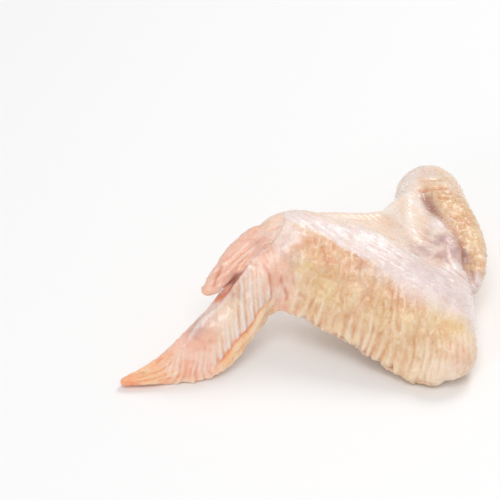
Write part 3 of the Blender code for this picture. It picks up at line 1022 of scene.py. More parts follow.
def tip_relief(place):
    """Feather rows of the tip between its rolled rim and its bone ridge, and the strands of its skin."""
    rolled = ROLLED_RIM_HEIGHT * hill(place.trailing, place.foot - ROLLED_RIM_BACK, ROLLED_RIM_WIDTH)
    rolled = rolled * within(place.station, *ROLLED_RIM_SPAN)
    ridge = BONE_RIDGE_HEIGHT * hill(from_line(place.points, BONE_RIDGE)[0], 0, BONE_RIDGE_WIDTH)
    ridge = ridge * ramp(place.station, 0.6, 0.9)
    groove = RIM_GROOVE_DEPTH * pressed_line(place.points, RIM_GROOVE, RIM_GROOVE_WIDTH)
    strands = STRAND_HEIGHT * tip_strands(place) * within(place.station, *STRAND_SPAN)
    rows = TIP_ROW_HEIGHT * tip_rows(place) + TIP_FAN_HEIGHT * tip_fan(place)
    return rows + (rolled + ridge) * place.off_alula * place.top - groove + strands


def flat_tufts(place):
    """Tufts along the flat's edge, up to 1 high, and the finer and lower ones over the elbow."""
    row = place.row + 1.1 * mottle(stacked(place.row / 8, place.trailing / 8), seed=21)
    up = place.trailing
    tall = tufts(row, up - 0.5, FLAT_TUFT_SPACING, FLAT_TUFT_REACH, FLAT_TUFT_WIDTH, seed=22)
    fine = tufts(row, up - 2, ELBOW_TUFT_SPACING, ELBOW_TUFT_REACH, FLAT_TUFT_WIDTH, seed=23)
    both = tall * ramp(row, 66, 38) + ELBOW_TUFT_HEIGHT / FLAT_TUFT_HEIGHT * fine * ramp(row, 46, 54)
    return both * place.on_flat * (1 - place.sheath) * ramp(up, -1, 1.5) * ramp(place.from_bone, 2, -2)


def flecks(place):
    """Short raised lines round single feather roots, scattered over the upper flat in two leans: a
    bell of the way to the nearest root, drawn out along the row."""
    highest = np.zeros(len(place.row))
    for lean, seed in ((0.3, 25), (-0.12, 26)):
        across = (place.row - lean * place.trailing) / 1.5
        root = pimples(stacked(across, place.trailing / 5.5, place.top * 4), seed)
        highest = np.maximum(highest, np.exp(-((root / 0.27) ** 2)))
    return highest


def upper_flat(place):
    """Share of each point in the flat's upper part, between its tufts and the tendon band."""
    between = ramp(place.trailing, 4, 8) * (1 - 0.8 * place.sheath) * ramp(place.from_bone, 5, 0)
    return place.on_flat * between


def flat_relief(place):
    """Tufts along the flat's edge, the fine lines that split them, and flecks and crumples above them."""
    row = place.row + 0.9 * mottle(stacked(place.row / 3, place.trailing / 3), seed=28)
    split = mottle(stacked(place.row / 0.7, place.trailing / 3.5), seed=24)
    crumpled = ridged(stacked(row / 2.2, place.trailing / 4.5, place.height / 4), seed=29)
    bulged = mottle(stacked(row / 2.0, place.trailing / 2.5, place.height / 4), seed=27)
    worked = FLECK_HEIGHT * flecks(place) - CRUMPLE_DEPTH * crumpled + BULGE_HEIGHT * bulged
    return (
        FLAT_TUFT_HEIGHT * flat_tufts(place) * (1 - 0.4 * ramp(place.row, 34, 48))
        + TUFT_SPLIT_HEIGHT * split * place.on_flat * ramp(place.trailing, 11, 6)
        + worked * upper_flat(place) * ramp(place.row, 66, 52)
    )


def band_relief(place):
    """Streaks of the tendon band and fine wrinkles of the web, both running down to the elbow."""
    streaks = mottle(stacked(place.across / 0.62, place.stretch / 4.5), seed=41)
    torn = ridged(stacked(place.across / 1.5, place.stretch / 6), seed=42)
    crossed = mottle(stacked(place.across / 2.2, place.stretch / 1.6), seed=43)
    wander = mottle(stacked(place.across / 2.0, place.stretch / 9), seed=44)
    beyond = 0.9 * ramp(place.from_bone, 6, 10) * ramp(place.ridge, 0.5, 2) * (1 - place.web)
    drawn = BAND_STREAK_HEIGHT * streaks + BAND_TEAR_HEIGHT * torn + BAND_CROSS_HEIGHT * crossed
    wrinkles = np.sin(2 * np.pi * place.across / WEB_WRINKLE_SPACING + 5.0 * wander)
    tendon = TENDON_HEIGHT * pressed_line(place.points, TENDON_EDGE, TENDON_WIDTH) * place.top
    return drawn * np.clip(place.sheath + beyond, 0, 1) + WEB_WRINKLE_HEIGHT * wrinkles * place.web + tendon


def drumette_relief(place):
    """Lumps of fat along the drumette's fold of skin, and the puckers beside it."""
    points = place.points
    fatty = place.on_ridge * ramp(place.ridge_way, 0.22, 0.42)
    coarse = np.exp(-((pimples(points / 2.2, seed=31) / 0.45) ** 2))
    fine = mottle(points / 1.0, seed=32)
    draped = mottle(points / np.array((4.0, 1.6, 2.2)), seed=33)
    grain = FAT_GRAIN_HEIGHT * fatty + RIDGE_GRAIN_HEIGHT * place.on_ridge
    grain = grain + OUTSIDE_GRAIN_HEIGHT * place.outside
    lumps = FAT_LUMP_HEIGHT * coarse * fatty + grain * fine + DRAPE_HEIGHT * draped * place.on_ridge
    for middle, radius, height in LUMPS:
        lumps = lumps + height * hill(np.linalg.norm(points - np.array(middle), axis=1), 0, radius)
    return lumps


def alula_relief(place):
    """Lengthwise wrinkles of the alula, and the groove that parts its end into two lobes."""
    side = place.points @ ALULA_ACROSS + 0.6 * mottle(place.points / 5, seed=51)
    lines = mottle(stacked(side / 0.8, place.alula_way * 5), seed=52)
    lines = lines + 0.6 * ridged(stacked(side / 1.9, place.alula_way * 4), seed=53)
    groove = ALULA_GROOVE_DEPTH * pressed_line(place.points, ALULA_GROOVE, ALULA_GROOVE_WIDTH)
    return ALULA_LINE_HEIGHT * lines * place.on_alula - groove


def pressed_folds(place):
    """Creases at the wrist, the elbow, the shoulder, the small muscle, the drumette and the alula."""
    single = (
        (MUSCLE_VALLEY, MUSCLE_VALLEY_WIDTH, MUSCLE_VALLEY_DEPTH),
        (DRUMETTE_FOLD, DRUMETTE_FOLD_WIDTH, DRUMETTE_FOLD_DEPTH),
        (ALULA_FOLD, ALULA_FOLD_WIDTH, ALULA_FOLD_DEPTH),
    )
    folds = WRIST_FOLDS + ELBOW_FOLDS + SHOULDER_FOLDS + single
    return sum(depth * pressed_line(place.points, line, width) for line, width, depth in folds)


def rim_frill(place):
    """Small nicks along the trailing edge."""
    nicks = mottle(stacked(place.row / 2.1, place.top * 2), seed=61)
    nicks = nicks + 0.8 * mottle(stacked(place.row / 0.9, place.top * 2), seed=62)
    flat = FLAT_NICK_HEIGHT * within(place.station, *FLAT_NICK_SPAN)
    tip = TIP_NICK_HEIGHT * within(place.station, *TIP_NICK_SPAN)
    return nicks * hill(place.trailing, 0, NICK_REACH) * (flat + tip)


def loose_skin(place):
    """Slow swells and small crumples that the whole skin has, and the wrinkles drawn down the wrist."""
    swell = SWELL_HEIGHT * mottle(place.askew / 5.0, seed=71)
    crumple = mottle(stacked(place.way / 1.7, place.trailing / 2.6, place.height / 3), seed=72)
    drawn = WRIST_WRINKLE_HEIGHT * ridged(stacked(place.row / 2.4, place.trailing / 9), seed=73)
    wrist = hill(place.station, 2.05, 0.22) * place.off_alula
    slack = 1 - 0.75 * np.clip(place.web + place.sheath, 0, 1)
    crumple = (SKIN_CRUMPLE_HEIGHT * slack + WRIST_CRUMPLE_HEIGHT * wrist) * crumple
    return swell * slack + crumple + wrist * drawn


def worked_relief(place):
    """Height of the skin's relief in millimetres."""
    return (
        tip_relief(place)
        + flat_relief(place)
        + band_relief(place)
        + drumette_relief(place)
        + alula_relief(place)
        + rim_frill(place)
        + loose_skin(place)
        - pressed_folds(place)
    )


# Patches of a tint: middle, radius in millimetres and strength
TINT_SPOTS = {
    "butter": (
        ((17.0, 25.2, 32.0), 5.0, 0.8),
        ((23.4, 20.2, 25.8), 6.0, 0.65),
        ((30.0, 18.5, 25.0), 5.0, 0.6),
        ((41.0, 15.0, 22.0), 6.0, 0.6),
        ((50.0, 12.5, 21.0), 5.0, 0.5),
        ((59.0, 14.5, 20.5), 7.0, 0.7),
        ((66.0, 12.5, 18.0), 6.0, 0.8),
        ((65.0, 62.0, 27.0), 6.0, 0.3),
        ((71.0, 50.0, 24.0), 6.0, 0.3),
    ),
    "amber": (
        ((16.5, 30.5, 36.0), 4.5, 0.6),
        ((24.0, 27.5, 34.5), 5.5, 0.8),
        ((32.0, 26.5, 33.0), 5.5, 0.8),
        ((31.0, 19.3, 26.8), 4.0, 0.6),
        ((37.0, 17.5, 25.5), 5.0, 0.6),
        ((46.0, 17.5, 25.5), 5.0, 0.7),
        ((52.0, 16.0, 23.5), 5.0, 0.5),
        ((60.5, 71.0, 27.2), 3.0, 0.5),
        ((66.0, 57.5, 25.8), 4.0, 0.6),
        ((68.4, 52.0, 24.2), 3.5, 0.7),
        ((67.5, 47.5, 23.0), 3.0, 0.6),
        ((45.0, 48.0, 31.0), 5.0, 0.25),
        ((49.5, 46.0, 27.0), 6.0, 0.3),
        ((70.0, 58.0, 26.0), 5.0, 0.3),
    ),
    "bare": (
        ((41.5, 22.0, 30.2), 6.0, 0.25),
        ((64.2, 45.0, 25.3), 5.5, 1.0),
        ((66.6, 42.0, 23.4), 5.0, 1.0),
        ((62.5, 40.0, 24.4), 4.0, 0.6),
        # Painted shade in the hollow between the web and the muscle
        ((54.0, 42.0, 25.0), 5.5, 0.75),
        ((60.9, 47.0, 26.0), 3.5, 0.4),
        ((61.0, 25.5, 24.3), 6.0, 0.2),
        ((64.5, 20.0, 23.0), 5.0, 0.25),
        ((54.0, 27.0, 27.5), 5.0, 0.25),
        ((-16.0, 12.2, 18.5), 4.0, 0.4),
        ((-4.5, 19.5, 27.0), 3.5, 0.4),
        ((4.0, 30.0, 36.5), 4.5, 0.4),
        ((14.5, 26.0, 34.0), 3.5, 0.5),
        ((36.0, 24.5, 31.5), 3.0, 0.25),
    ),
    "pearl": (
        # The first patch is a painted highlight on the wet bump of the muscle
        ((60.0, 54.0, 26.2), 4.0, 0.9),
        ((53.5, 74.5, 26.0), 3.0, 0.5),
        ((12.0, 33.0, 38.0), 5.0, 0.8),
        ((57.0, 43.3, 24.2), 2.0, 0.6),
        ((56.0, 84.0, 25.0), 7.0, 0.5),
    ),
    "blush": (
        ((49.5, 78.0, 20.5), 4.0, 0.7),
        ((9.5, 27.0, 35.0), 5.0, 0.6),
        ((16.0, 31.5, 37.0), 4.5, 0.5),
        ((66.0, 6.0, 12.0), 6.0, 0.4),
        ((57.0, 36.0, 24.6), 4.0, 0.4),
    ),
}


def spotted(place, name):
    """Largest of the named tint's patches at each point: a bell round each middle, with ragged edges."""
    ragged = 1 + 0.45 * mottle(place.askew / 3.0, seed=90) + 0.3 * mottle(place.askew / 1.3, seed=91)
    most = np.zeros(len(place.points))
    for middle, radius, strength in TINT_SPOTS[name]:
        away = np.linalg.norm(place.points - np.array(middle), axis=1) * ragged
        most = np.maximum(most, strength * ramp(away, 1.3 * radius, 0.4 * radius))
    return most * (0.85 + 0.45 * mottle(place.askew / 2.4, seed=92 + len(name)))


def strongest(*layers):
    """Largest at each point of some shares, each given with its strength."""
    return np.max([strength * share for strength, share in layers], axis=0)


def shade_along_folds(place, folds, strength, spread):
    """Painted shade along a set of folds: a share of each fold's depth, spread wider than the fold."""
    tinted = (depth * pressed_line(place.points, line, spread * width) for line, width, depth in folds)
    return strength * sum(tinted)


def point_strands(place):
    """The tip's strands where its skin is tinted by them, towards its point: painted highlights on their
    crests and painted shade in their hollows.
    """
    return tip_strands(place) * ramp(place.station, 0.9, 0.5) * place.off_alula


def alula_slit_shadow(place):
    """Painted shadow in the slit between the free end of the alula and the tip."""
    free_end = ramp(place.alula_way, 0.3, 0.5)
    return hill(place.alula, 1.3, 0.9) * free_end * place.off_alula * place.in_tip


def apricot_share(place):
    """Apricot of the tip: its point, its rolled rim, the edge between them and the gaps of its rows."""
    end = place.station + 0.07 * place.patch
    rim = ramp(place.trailing, place.foot + 0.5, place.foot - 0.7)
    rim = rim * ramp(place.station, 0.8, 1.1) * place.in_tip
    edge = ramp(place.station, 1.0, 0.6) * ramp(place.trailing, 3.5, 1.5)
    return strongest((0.8, ramp(end, 0.75, 0.25)), (0.85, rim), (0.5, edge), (0.2, tip_gaps(place)))


def ember_and_hollow_shade_share(place):
    """Deep orange of the very point and edge of the tip, of the groove over its rim and of the end of the
    alula, and painted shade in the slit under the alula and in the hollows between the tip's strands
    and fan folds."""
    end = place.station + 0.07 * place.patch
    point = 0.8 * ramp(end, 0.3, 0.02) + 0.5 * ramp(end, 0.5, 0.2) * ramp(place.trailing, 2.5, 1.0)
    groove = 0.8 * pressed_line(place.points, RIM_GROOVE, RIM_GROOVE_WIDTH) * place.off_alula
    hollows = 0.35 * np.clip(-point_strands(place), 0, 1)
    between = ramp(tip_fan(place), 0.35, 0.1) * within(place.station, *BETWEEN_FAN_SPAN) * place.in_tip
    alula_end = place.on_alula * ramp(place.alula_way, 0.5, 1.0)
    return point + groove + alula_slit_shadow(place) + hollows + 0.16 * between + 0.45 * alula_end


def flesh_shares(place):
    """Blush and rose of the flesh that shows through the skin of the tip, its far flank, the wrist and
    the alula."""
    tip = ramp(place.station + 0.1 * place.broad, 1.35, 0.8)
    flank = ramp(place.from_bone + 1.2 * place.patch, 4.0, 6.0) * ramp(place.station, 1.9, 1.5)
    wrist = hill(place.station, 2.02, 0.2) * place.off_alula
    alula = place.on_alula * ramp(place.alula_way, -0.1, 0.3)
    blush = np.clip(0.9 * tip + 0.7 * flank * place.in_tip + 0.8 * wrist + alula, 0, 1)
    rose = alula * (0.8 - 0.5 * hill(place.alula_way, 0.6, 0.25)) + 0.25 * wrist + 0.2 * tip * place.off_alula
    return blush, rose


def fat_share(place):
    """Cream fat: under the flat's skin up to the ragged foot of the tendon band, and along the
    drumette's fold."""
    torn = mottle(stacked(place.row / 2.2, place.from_bone / 1.0, place.height / 3), seed=83)
    way_up = place.from_bone + 1.2 * place.broad + 1.5 * torn
    flat = ramp(place.station, 2.1, 2.5) * ramp(way_up, place.band_low + 2.2, place.band_low - 1.8)
    under_elbow = ramp(place.points[:, 0], 52, 60) * ramp(place.points[:, 2], 16, 9)
    flat = flat * (1 - under_elbow) * (0.8 + 0.3 * place.patch)
    flat = flat * (1 - place.outside) * ramp(place.drumette_way, 0.5, 0.3)
    ridge = np.maximum(place.on_ridge * ramp(place.ridge_way, 0.2, 0.4), 0.6 * place.outside)
    return np.maximum(flat, ridge * (0.75 + 0.35 * place.patch)) * place.off_alula


def pearl_share(place):
    """Pale lilac of the tendon band and of the crests of the tip's rows, and painted highlights: on the
    wet bump of the muscle among the patches, along the ridge of the tip's bone, and on the crests of
    its fan folds and strands."""
    ridge = hill(from_line(place.points, BONE_RIDGE)[0], 0, 1.6) * ramp(place.station, 0.7, 1.0)
    return strongest(
        (1.0, place.sheath),
        (1.0, spotted(place, "pearl")),
        (1.0, ridge * place.off_alula),
        (0.4, place.in_tip * ramp(place.station, 1.0, 1.3)),
        (0.95, ramp(tip_rows(place), 0.15, 0.6)),
        (0.28, ramp(tip_fan(place), 0.3, 0.9)),
        (0.4, point_strands(place)),
    )


def shade_share(place):
    """Painted shade: dark at the bottom of the drumette's fold, deepest at one place, in the slit under the
    alula and under the alula.
    """
    deepest = hill(np.linalg.norm(place.points - np.array(FOLD_DEEPEST), axis=1), 0, FOLD_DEEPEST_REACH)
    drumette = pressed_line(place.points, DRUMETTE_FOLD, 2.2) * (0.3 + 0.7 * deepest)
    under_alula = pressed_line(place.points, ALULA_FOLD, 0.7)
    return strongest((1.0, drumette), (0.3, alula_slit_shadow(place)), (0.8, under_alula))


def tints(place):
    """Share from 0 to 1 of each tint of the skin, by name, and where the skin's pattern is calm, mottled
    or streaked."""
    blush, rose = flesh_shares(place)
    veil = place.web * (0.8 + 0.3 * place.patch) + 0.7 * place.on_muscle * ramp(place.muscle_way, 0.15, 0.3)
    valley = pressed_line(place.points, MUSCLE_VALLEY, 2.4)
    groove = pressed_line(place.points, ALULA_GROOVE, ALULA_GROOVE_WIDTH)
    slit = pressed_line(place.points, ALULA_FOLD, ALULA_FOLD_WIDTH)
    shares = {
        "veil": veil * (1 - place.outside),
        "fat": fat_share(place),
        "butter": strongest((1.0, spotted(place, "butter")), (0.4, tip_gaps(place))),
        # Amber patches, and painted shade along the folds at the shoulder
        "amber": np.maximum(spotted(place, "amber"), shade_along_folds(place, SHOULDER_FOLDS, 0.5, 1.2)),
        "blush": np.maximum(blush, spotted(place, "blush")),
        "rose": rose,
        # Pale lilac, with painted highlights on the wet muscle, the bone ridge and the crests of the tip's
        # folds
        "pearl": pearl_share(place),
        # Lilac of the thin skin, with painted shade along the valley beside the small muscle
        "bare": strongest((1.0, spotted(place, "bare")), (0.3, valley)),
        "cream": strongest((0.6, flat_tufts(place)), (0.35, flecks(place) * upper_flat(place))),
        "apricot": apricot_share(place),
        # Deep orange of the tip, with painted shade in the slit under the alula and in the hollows of its
        # folds
        "ember": ember_and_hollow_shade_share(place),
        # Painted shade in the creases of the wrist, in the alula's groove and in the slit under it
        "fold": shade_along_folds(place, WRIST_FOLDS, 0.9, 1.6) + 0.6 * groove + 0.5 * slit,
        "shade": shade_share(place),
        "calm": np.maximum(ramp(place.station, 1.1, 0.9), 0.3 + 0.15 * place.sheath - 0.3 * place.on_alula),
        "mottled": upper_flat(place) + 0.5 * np.maximum(place.on_ridge, place.outside),
        "streaked": place.sheath + place.web + 0.6 * place.on_muscle,
    }
    return {name: np.clip(share, 0, 1) for name, share in shares.items()}


def keep_values(mesh, name, values, kind="FLOAT"):
    """Store one value, or one row of three, for each point of the mesh."""
    layer = mesh.attributes.new(name, kind, "POINT")
    field = "value" if kind == "FLOAT" else "vector"
    layer.data.foreach_set(field, values.astype(np.float32).ravel())


# How far a point has to stand out from the skin round it to count as a full crest, in millimetres
CREST_HEIGHT = 0.24
CREST_ROUNDS = 5


def standing_out(relief, edges):
    """How far each point's relief stands over the mean of the skin round it, from -1 to 1."""
    level = relief[:, None]
    for _ in range(CREST_ROUNDS):
        level = neighbour_mean(level, edges)
    return np.clip((relief - level[:, 0]) / CREST_HEIGHT, -1, 1)


def work_skin(wing):
    """Raise the skin's relief on the bare wing, set it on the table, and keep its tints and the lay of
    its pattern: millimetres across the rows, along them and over the middle sheet."""
    points, edges, corners = mesh_arrays(wing.data)
    points = points + EVEN_SKIN_SHARE * (neighbour_mean(points, edges) - points)
    place = lie_on_sheet(points)
    relief = worked_relief(place)
    points = points + relief[:, None] * point_normals(points, corners)
    placed = points + CENTRE_SHIFT
    placed[:, 2] = np.maximum(placed[:, 2], 0)
    wing.data.vertices.foreach_set("co", (placed * MM).ravel())
    wing.data.update()
    for name, share in tints(place).items():
        keep_values(wing.data, name, share)
    # How far each point stands out of the relief round it, which sets the painted shade in its hollows and
    # the painted highlights on its crests
    keep_values(wing.data, "crest", standing_out(relief, edges))
    bend = 1.1 * mottle(place.askew / 3.5, seed=97)
    across = np.where(place.on_alula > 0.5, place.points @ ALULA_ACROSS, place.row) + bend
    along_it = np.where(place.on_alula > 0.5, ALULA_LENGTH * place.alula_way, place.trailing)
    keep_values(wing.data, "lay", stacked(across, along_it, place.height), "FLOAT_VECTOR")


def linear(code):
    """Linear RGBA of an sRGB hex colour."""
    parts = [int(code[i : i + 2], 16) / 255 for i in (1, 3, 5)]
    return (*[p / 12.92 if p <= 0.04045 else ((p + 0.055) / 1.055) ** 2.4 for p in parts], 1.0)


def add(tree, kind, inputs=(), **settings):
    """Add a node with its settings, and give each named or numbered input a value or a link."""
    made = tree.nodes.new(kind)
    for name, value in settings.items():
        setattr(made, name, value)
    for name, value in dict(inputs).items():
        if isinstance(value, bpy.types.NodeSocket):
            tree.links.new(value, made.inputs[name])
        else:
            made.inputs[name].default_value = value
    return made


def per_metre(millimetres):
    """Noise scale on Object coordinates for patches of the given size."""
    return 1000.0 / millimetres


# Skin colours: the plain skin, the painted shade of its hollows and the painted highlight of its
# crests, which also give the dark and pale of the fat's grains, then each tint where it is thin and
# where it is thick
PEACH = "#eecbac"
PALE_PEACH = "#f8dfca"
# Painted shade in the hollows of the relief and the streaks, also the dark of the fat's grains
SHADE_AND_DARK_GRAIN = "#efbd9a"
# Painted shade in the hollows of the streaks on the pale band
LILAC_HOLLOW_SHADE = "#e6d2d0"
# Painted highlight on the crests of the relief and the streaks, also the pale of the fat's grains
HIGHLIGHT_AND_PALE_GRAIN = "#fbead6"
SKIN_TINTS = {
    "veil": ("#fae3d2", "#fdeee4"),
    "fat": ("#e0b386", "#e8c59a"),
    "butter": ("#eccb90", "#f1d7a4"),
    "amber": ("#dd9f70", "#e7b287"),
    "blush": ("#f9c3ae", "#fdd9ca"),
    "rose": ("#eda888", "#f3bba0"),
    # Pale band, also painted highlights on the wet muscle, the tip's bone ridge and the crests of its folds
    "pearl": ("#eedad6", "#f5e7e4"),
    # Lilac of the thin skin, also painted shade in the hollows by the muscle
    "bare": ("#b48a8a", "#c9a5a2"),
    "cream": ("#f5dcba", "#fae8cc"),
    "apricot": ("#ffc388", "#ffdbb0"),
    # Deep orange of the tip's point, also painted shade in the slit under the alula and between the tip's
    # folds
    "ember": ("#f58f5c", "#fba878"),
    # Painted shade of the creases at the wrist and by the alula
    "fold": ("#cf8070", "#dd9a86"),
    # Painted shade in the drumette's fold and under the alula
    "shade": ("#945c55", "#a87268"),
}

# Sizes of the skin's pattern in millimetres: soft patches, the fat's grains, specks and the pores'
# fine grain, and the width and length of the streaks of the web and the band
PATTERN_SIZES = {"patches": 7.0, "grains": 2.6, "specks": 1.6, "pores": 0.9}
STREAK_WIDTH = 0.65
STREAK_LENGTH = 3.5

# Streaks to a millimetre across the feather rows, along them and over the middle sheet
ROW_STREAKS = (1.1, 0.33, 0.4)

# Roughness of the wet film where it is thick and where it is thin, and height of the pores in metres
FILM_ROUGHNESS = (0.18, 0.38)
PORE_HEIGHT = 0.0004

# Light that the skin lets in and scatters, and the coat of water over it
SKIN_FINISH = {
    "IOR": 1.42,
    "Subsurface Weight": 0.12,
    "Subsurface Radius": (1.0, 0.45, 0.3),
    "Subsurface Scale": 0.0008,
    "Coat Weight": 0.75,
    "Coat Roughness": 0.08,
    "Coat IOR": 1.38,
}


def raw_skin():
    """Raw poultry skin, plucked and scalded: thin, wet and slightly see-through, so the eye reads
    cream fat and pink flesh under it, in soft patches, with small sharp lights on each fold. Shade is
    painted into its hollows and creases, and highlights onto its crests."""
    material = bpy.data.materials.new("raw poultry skin")
    material.use_nodes = True
    tree = material.node_tree
    shader = tree.nodes["Principled BSDF"]
    where = add(tree, "ShaderNodeTexCoord").outputs["Object"]
    lay = add(tree, "ShaderNodeAttribute", attribute_name="lay").outputs["Vector"]
    names = (*SKIN_TINTS, "crest", "streaked", "calm", "mottled")
    share = {name: add(tree, "ShaderNodeAttribute", attribute_name=name).outputs["Fac"] for name in names}

    # Uneven colour of the skin: patches, grains, specks and pores, and streaks that run with the rows,
    # the web or the band
    cloudy = {"Detail": 3.0, "Roughness": 0.6}
    pattern = {}
    for name, size in PATTERN_SIZES.items():
        cells = {**cloudy, "Vector": where, "Scale": per_metre(size)}
        pattern[name] = add(tree, "ShaderNodeTexNoise", cells).outputs["Fac"]
    row_way = add(tree, "ShaderNodeMapping", {"Vector": lay, "Scale": ROW_STREAKS}).outputs["Vector"]
    rows = add(tree, "ShaderNodeTexNoise", {**cloudy, "Vector": row_way, "Scale": 1.0}).outputs["Fac"]
    strand_way = add(tree, "ShaderNodeCombineXYZ")
    for axis, direction, size in ((0, STREAK_ACROSS, STREAK_WIDTH), (1, STREAK_ALONG, STREAK_LENGTH)):
        step = [part * per_metre(size) for part in direction]
        reach = add(tree, "ShaderNodeVectorMath", {0: where, 1: step}, operation="DOT_PRODUCT")
        tree.links.new(reach.outputs["Value"], strand_way.inputs[axis])
    strands = {**cloudy, "Vector": strand_way.outputs[0], "Scale": 1.0}
    strands = add(tree, "ShaderNodeTexNoise", strands).outputs["Fac"]
    streaks = {0: share["streaked"], 2: rows, 3: strands}
    streaks = add(tree, "ShaderNodeMix", streaks, data_type="FLOAT").outputs[0]
    streaks = {0: share["calm"], 2: streaks, 3: 0.5}
    streaks = add(tree, "ShaderNodeMix", streaks, data_type="FLOAT").outputs[0]
    grains = {0: share["mottled"], 2: 0.5, 3: pattern["grains"]}
    grains = add(tree, "ShaderNodeMix", grains, data_type="FLOAT").outputs[0]

    # Plain skin, then each tint over it by its share, ragged along the streaks
    patchy = {"From Min": 0.35, "From Max": 0.65, "Value": pattern["patches"]}
    patchy = add(tree, "ShaderNodeMapRange", patchy, interpolation_type="SMOOTHSTEP").outputs["Result"]
    plain = {0: patchy, 6: linear(PEACH), 7: linear(PALE_PEACH)}
    colour = add(tree, "ShaderNodeMix", plain, data_type="RGBA").outputs[2]
    uneven = {"Value": streaks, "From Min": 0.3, "From Max": 0.55, "To Min": 0.65, "To Max": 1.0}
    uneven = add(tree, "ShaderNodeMapRange", uneven, interpolation_type="SMOOTHSTEP").outputs["Result"]
    for name, (thin, thick) in SKIN_TINTS.items():
        source = streaks if name == "pearl" else pattern["patches"]
        depth = {"Value": source, "From Min": 0.4, "From Max": 0.6}
        depth = add(tree, "ShaderNodeMapRange", depth, interpolation_type="SMOOTHSTEP").outputs["Result"]
        tint = {0: depth, 6: linear(thin), 7: linear(thick)}
        tint = add(tree, "ShaderNodeMix", tint, data_type="RGBA").outputs[2]
        ragged = add(tree, "ShaderNodeMath", {0: share[name], 1: uneven}, operation="MULTIPLY").outputs[0]
        colour = add(tree, "ShaderNodeMix", {0: ragged, 6: colour, 7: tint}, data_type="RGBA").outputs[2]

    # Painted shade in the hollows and painted highlights on the crests of the streaks and the relief,
    # whose bumps they follow, and darker and paler spots on the fat's grains. Each layer: source, its
    # value where the layer starts and where it is full, strength, colour, and how it lies over what is
    # under it.
    hollow_shade = {0: share["pearl"], 6: linear(SHADE_AND_DARK_GRAIN), 7: linear(LILAC_HOLLOW_SHADE)}
    hollow_shade = add(tree, "ShaderNodeMix", hollow_shade, data_type="RGBA").outputs[2]
    layers = (
        (streaks, 0.46, 0.32, 0.4, hollow_shade, "MULTIPLY"),
        (streaks, 0.54, 0.7, 0.45, linear(HIGHLIGHT_AND_PALE_GRAIN), "MIX"),
        (grains, 0.48, 0.34, 0.22, linear(SHADE_AND_DARK_GRAIN), "MULTIPLY"),
        (grains, 0.53, 0.66, 0.28, linear(HIGHLIGHT_AND_PALE_GRAIN), "MIX"),
        (share["crest"], 0.0, -0.9, 0.5, linear(SHADE_AND_DARK_GRAIN), "MULTIPLY"),
        (share["crest"], 0.05, 0.9, 0.35, linear(HIGHLIGHT_AND_PALE_GRAIN), "MIX"),
    )
    for source, start, full, strength, over, how in layers:
        factor = {"Value": source, "From Min": start, "From Max": full, "To Min": 0.0, "To Max": strength}
        factor = add(tree, "ShaderNodeMapRange", factor, interpolation_type="SMOOTHSTEP").outputs["Result"]
        layer = {0: factor, 6: colour, 7: over}
        colour = add(tree, "ShaderNodeMix", layer, data_type="RGBA", blend_type=how).outputs[2]

    # Wet film: smooth where it is thick, and broken by the pores and the streaks of the skin
    thick, thin = FILM_ROUGHNESS
    wet = {"Value": pattern["specks"], "From Min": 0.4, "From Max": 0.62, "To Min": thick, "To Max": thin}
    wet = add(tree, "ShaderNodeMapRange", wet, interpolation_type="SMOOTHSTEP").outputs["Result"]
    grain = add(tree, "ShaderNodeMath", {0: pattern["pores"], 1: streaks}, operation="ADD").outputs[0]
    pores = {"Height": grain, "Strength": 0.8, "Distance": PORE_HEIGHT}
    pores = add(tree, "ShaderNodeBump", pores).outputs["Normal"]
    tree.links.new(colour, shader.inputs["Base Color"])
    tree.links.new(wet, shader.inputs["Roughness"])
    tree.links.new(pores, shader.inputs["Normal"])
    for socket, value in SKIN_FINISH.items():
        shader.inputs[socket].default_value = value
    return material


home = bpy.data.collections.new("raw wing")
bpy.context.scene.collection.children.link(home)
wing = bare_wing(home)
work_skin(wing)
wing.data.materials.clear()
wing.data.materials.append(raw_skin())

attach(wing, "root")
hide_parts("chicken_wing")


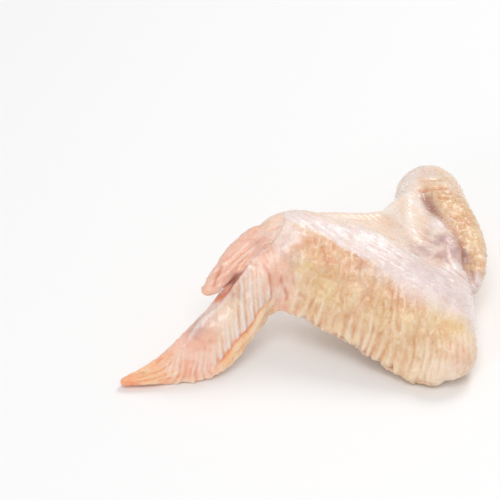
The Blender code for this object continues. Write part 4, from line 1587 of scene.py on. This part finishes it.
def pale_floor():
    """Wide flat table top."""
    mesh = bpy.data.meshes.new("floor")
    mesh.from_pydata([(-3, -3, 0), (3, -3, 0), (3, 3, 0), (-3, 3, 0)], [], [(0, 1, 2, 3)])
    floor = bpy.data.objects.new("floor", mesh)
    bpy.context.scene.collection.objects.link(floor)
    top = bpy.data.materials.new("matt white laminate")
    top.use_nodes = True
    shader = top.node_tree.nodes["Principled BSDF"]
    shader.inputs["Base Color"].default_value = linear("#f8f8f8")
    shader.inputs["Roughness"].default_value = 0.7
    mesh.materials.append(top)
    return floor


pale_floor()

# Softboxes: place and size in metres, and power in watts; all face a point just over the table
SOFT_BOXES = (
    ("main softbox", (0.35, 0.45, 0.80), 0.4, 3.0),
    ("front softbox", (0.0, -0.45, 0.90), 0.45, 2.9),
    ("left softbox", (-0.6, -0.9, 0.35), 0.35, 1.4),
)
LIT_POINT = (0, 0, 0.02)
ROOM_LIGHT = 0.53


def soft_box(name, place, target, size, power):
    """Square lamp at a place, facing a target."""
    data = bpy.data.lights.new(name, "AREA")
    data.shape = "SQUARE"
    data.size = size
    data.energy = power
    lamp = bpy.data.objects.new(name, data)
    bpy.context.scene.collection.objects.link(lamp)
    aim = np.array(target) - np.array(place)
    lamp.location = place
    lamp.rotation_euler = Vector(aim).to_track_quat("-Z", "Y").to_euler()


for name, place, size, power in SOFT_BOXES:
    soft_box(name, place, LIT_POINT, size, power)

world = bpy.data.worlds.new("studio")
bpy.context.scene.world = world
world.use_nodes = True
background = world.node_tree.nodes["Background"]
background.inputs["Color"].default_value = (1, 1, 1, 1)
background.inputs["Strength"].default_value = ROOM_LIGHT

# Long lens and its sensor in millimetres, and the camera's place in metres, in front of the wing and
# over it, and its look down in degrees
LENS = 200
SENSOR_WIDTH = 36
CAMERA_PLACE = (-0.01774, -0.70368, 0.56940)
LOOKS_DOWN = 38

lens = bpy.data.cameras.new("camera")
lens.lens = LENS
lens.sensor_width = SENSOR_WIDTH
camera = bpy.data.objects.new("camera", lens)
bpy.context.scene.collection.objects.link(camera)
camera.location = CAMERA_PLACE
camera.rotation_euler = (math.radians(90 - LOOKS_DOWN), 0, 0)
bpy.context.scene.camera = camera
bpy.context.scene.view_settings.view_transform = "Standard"
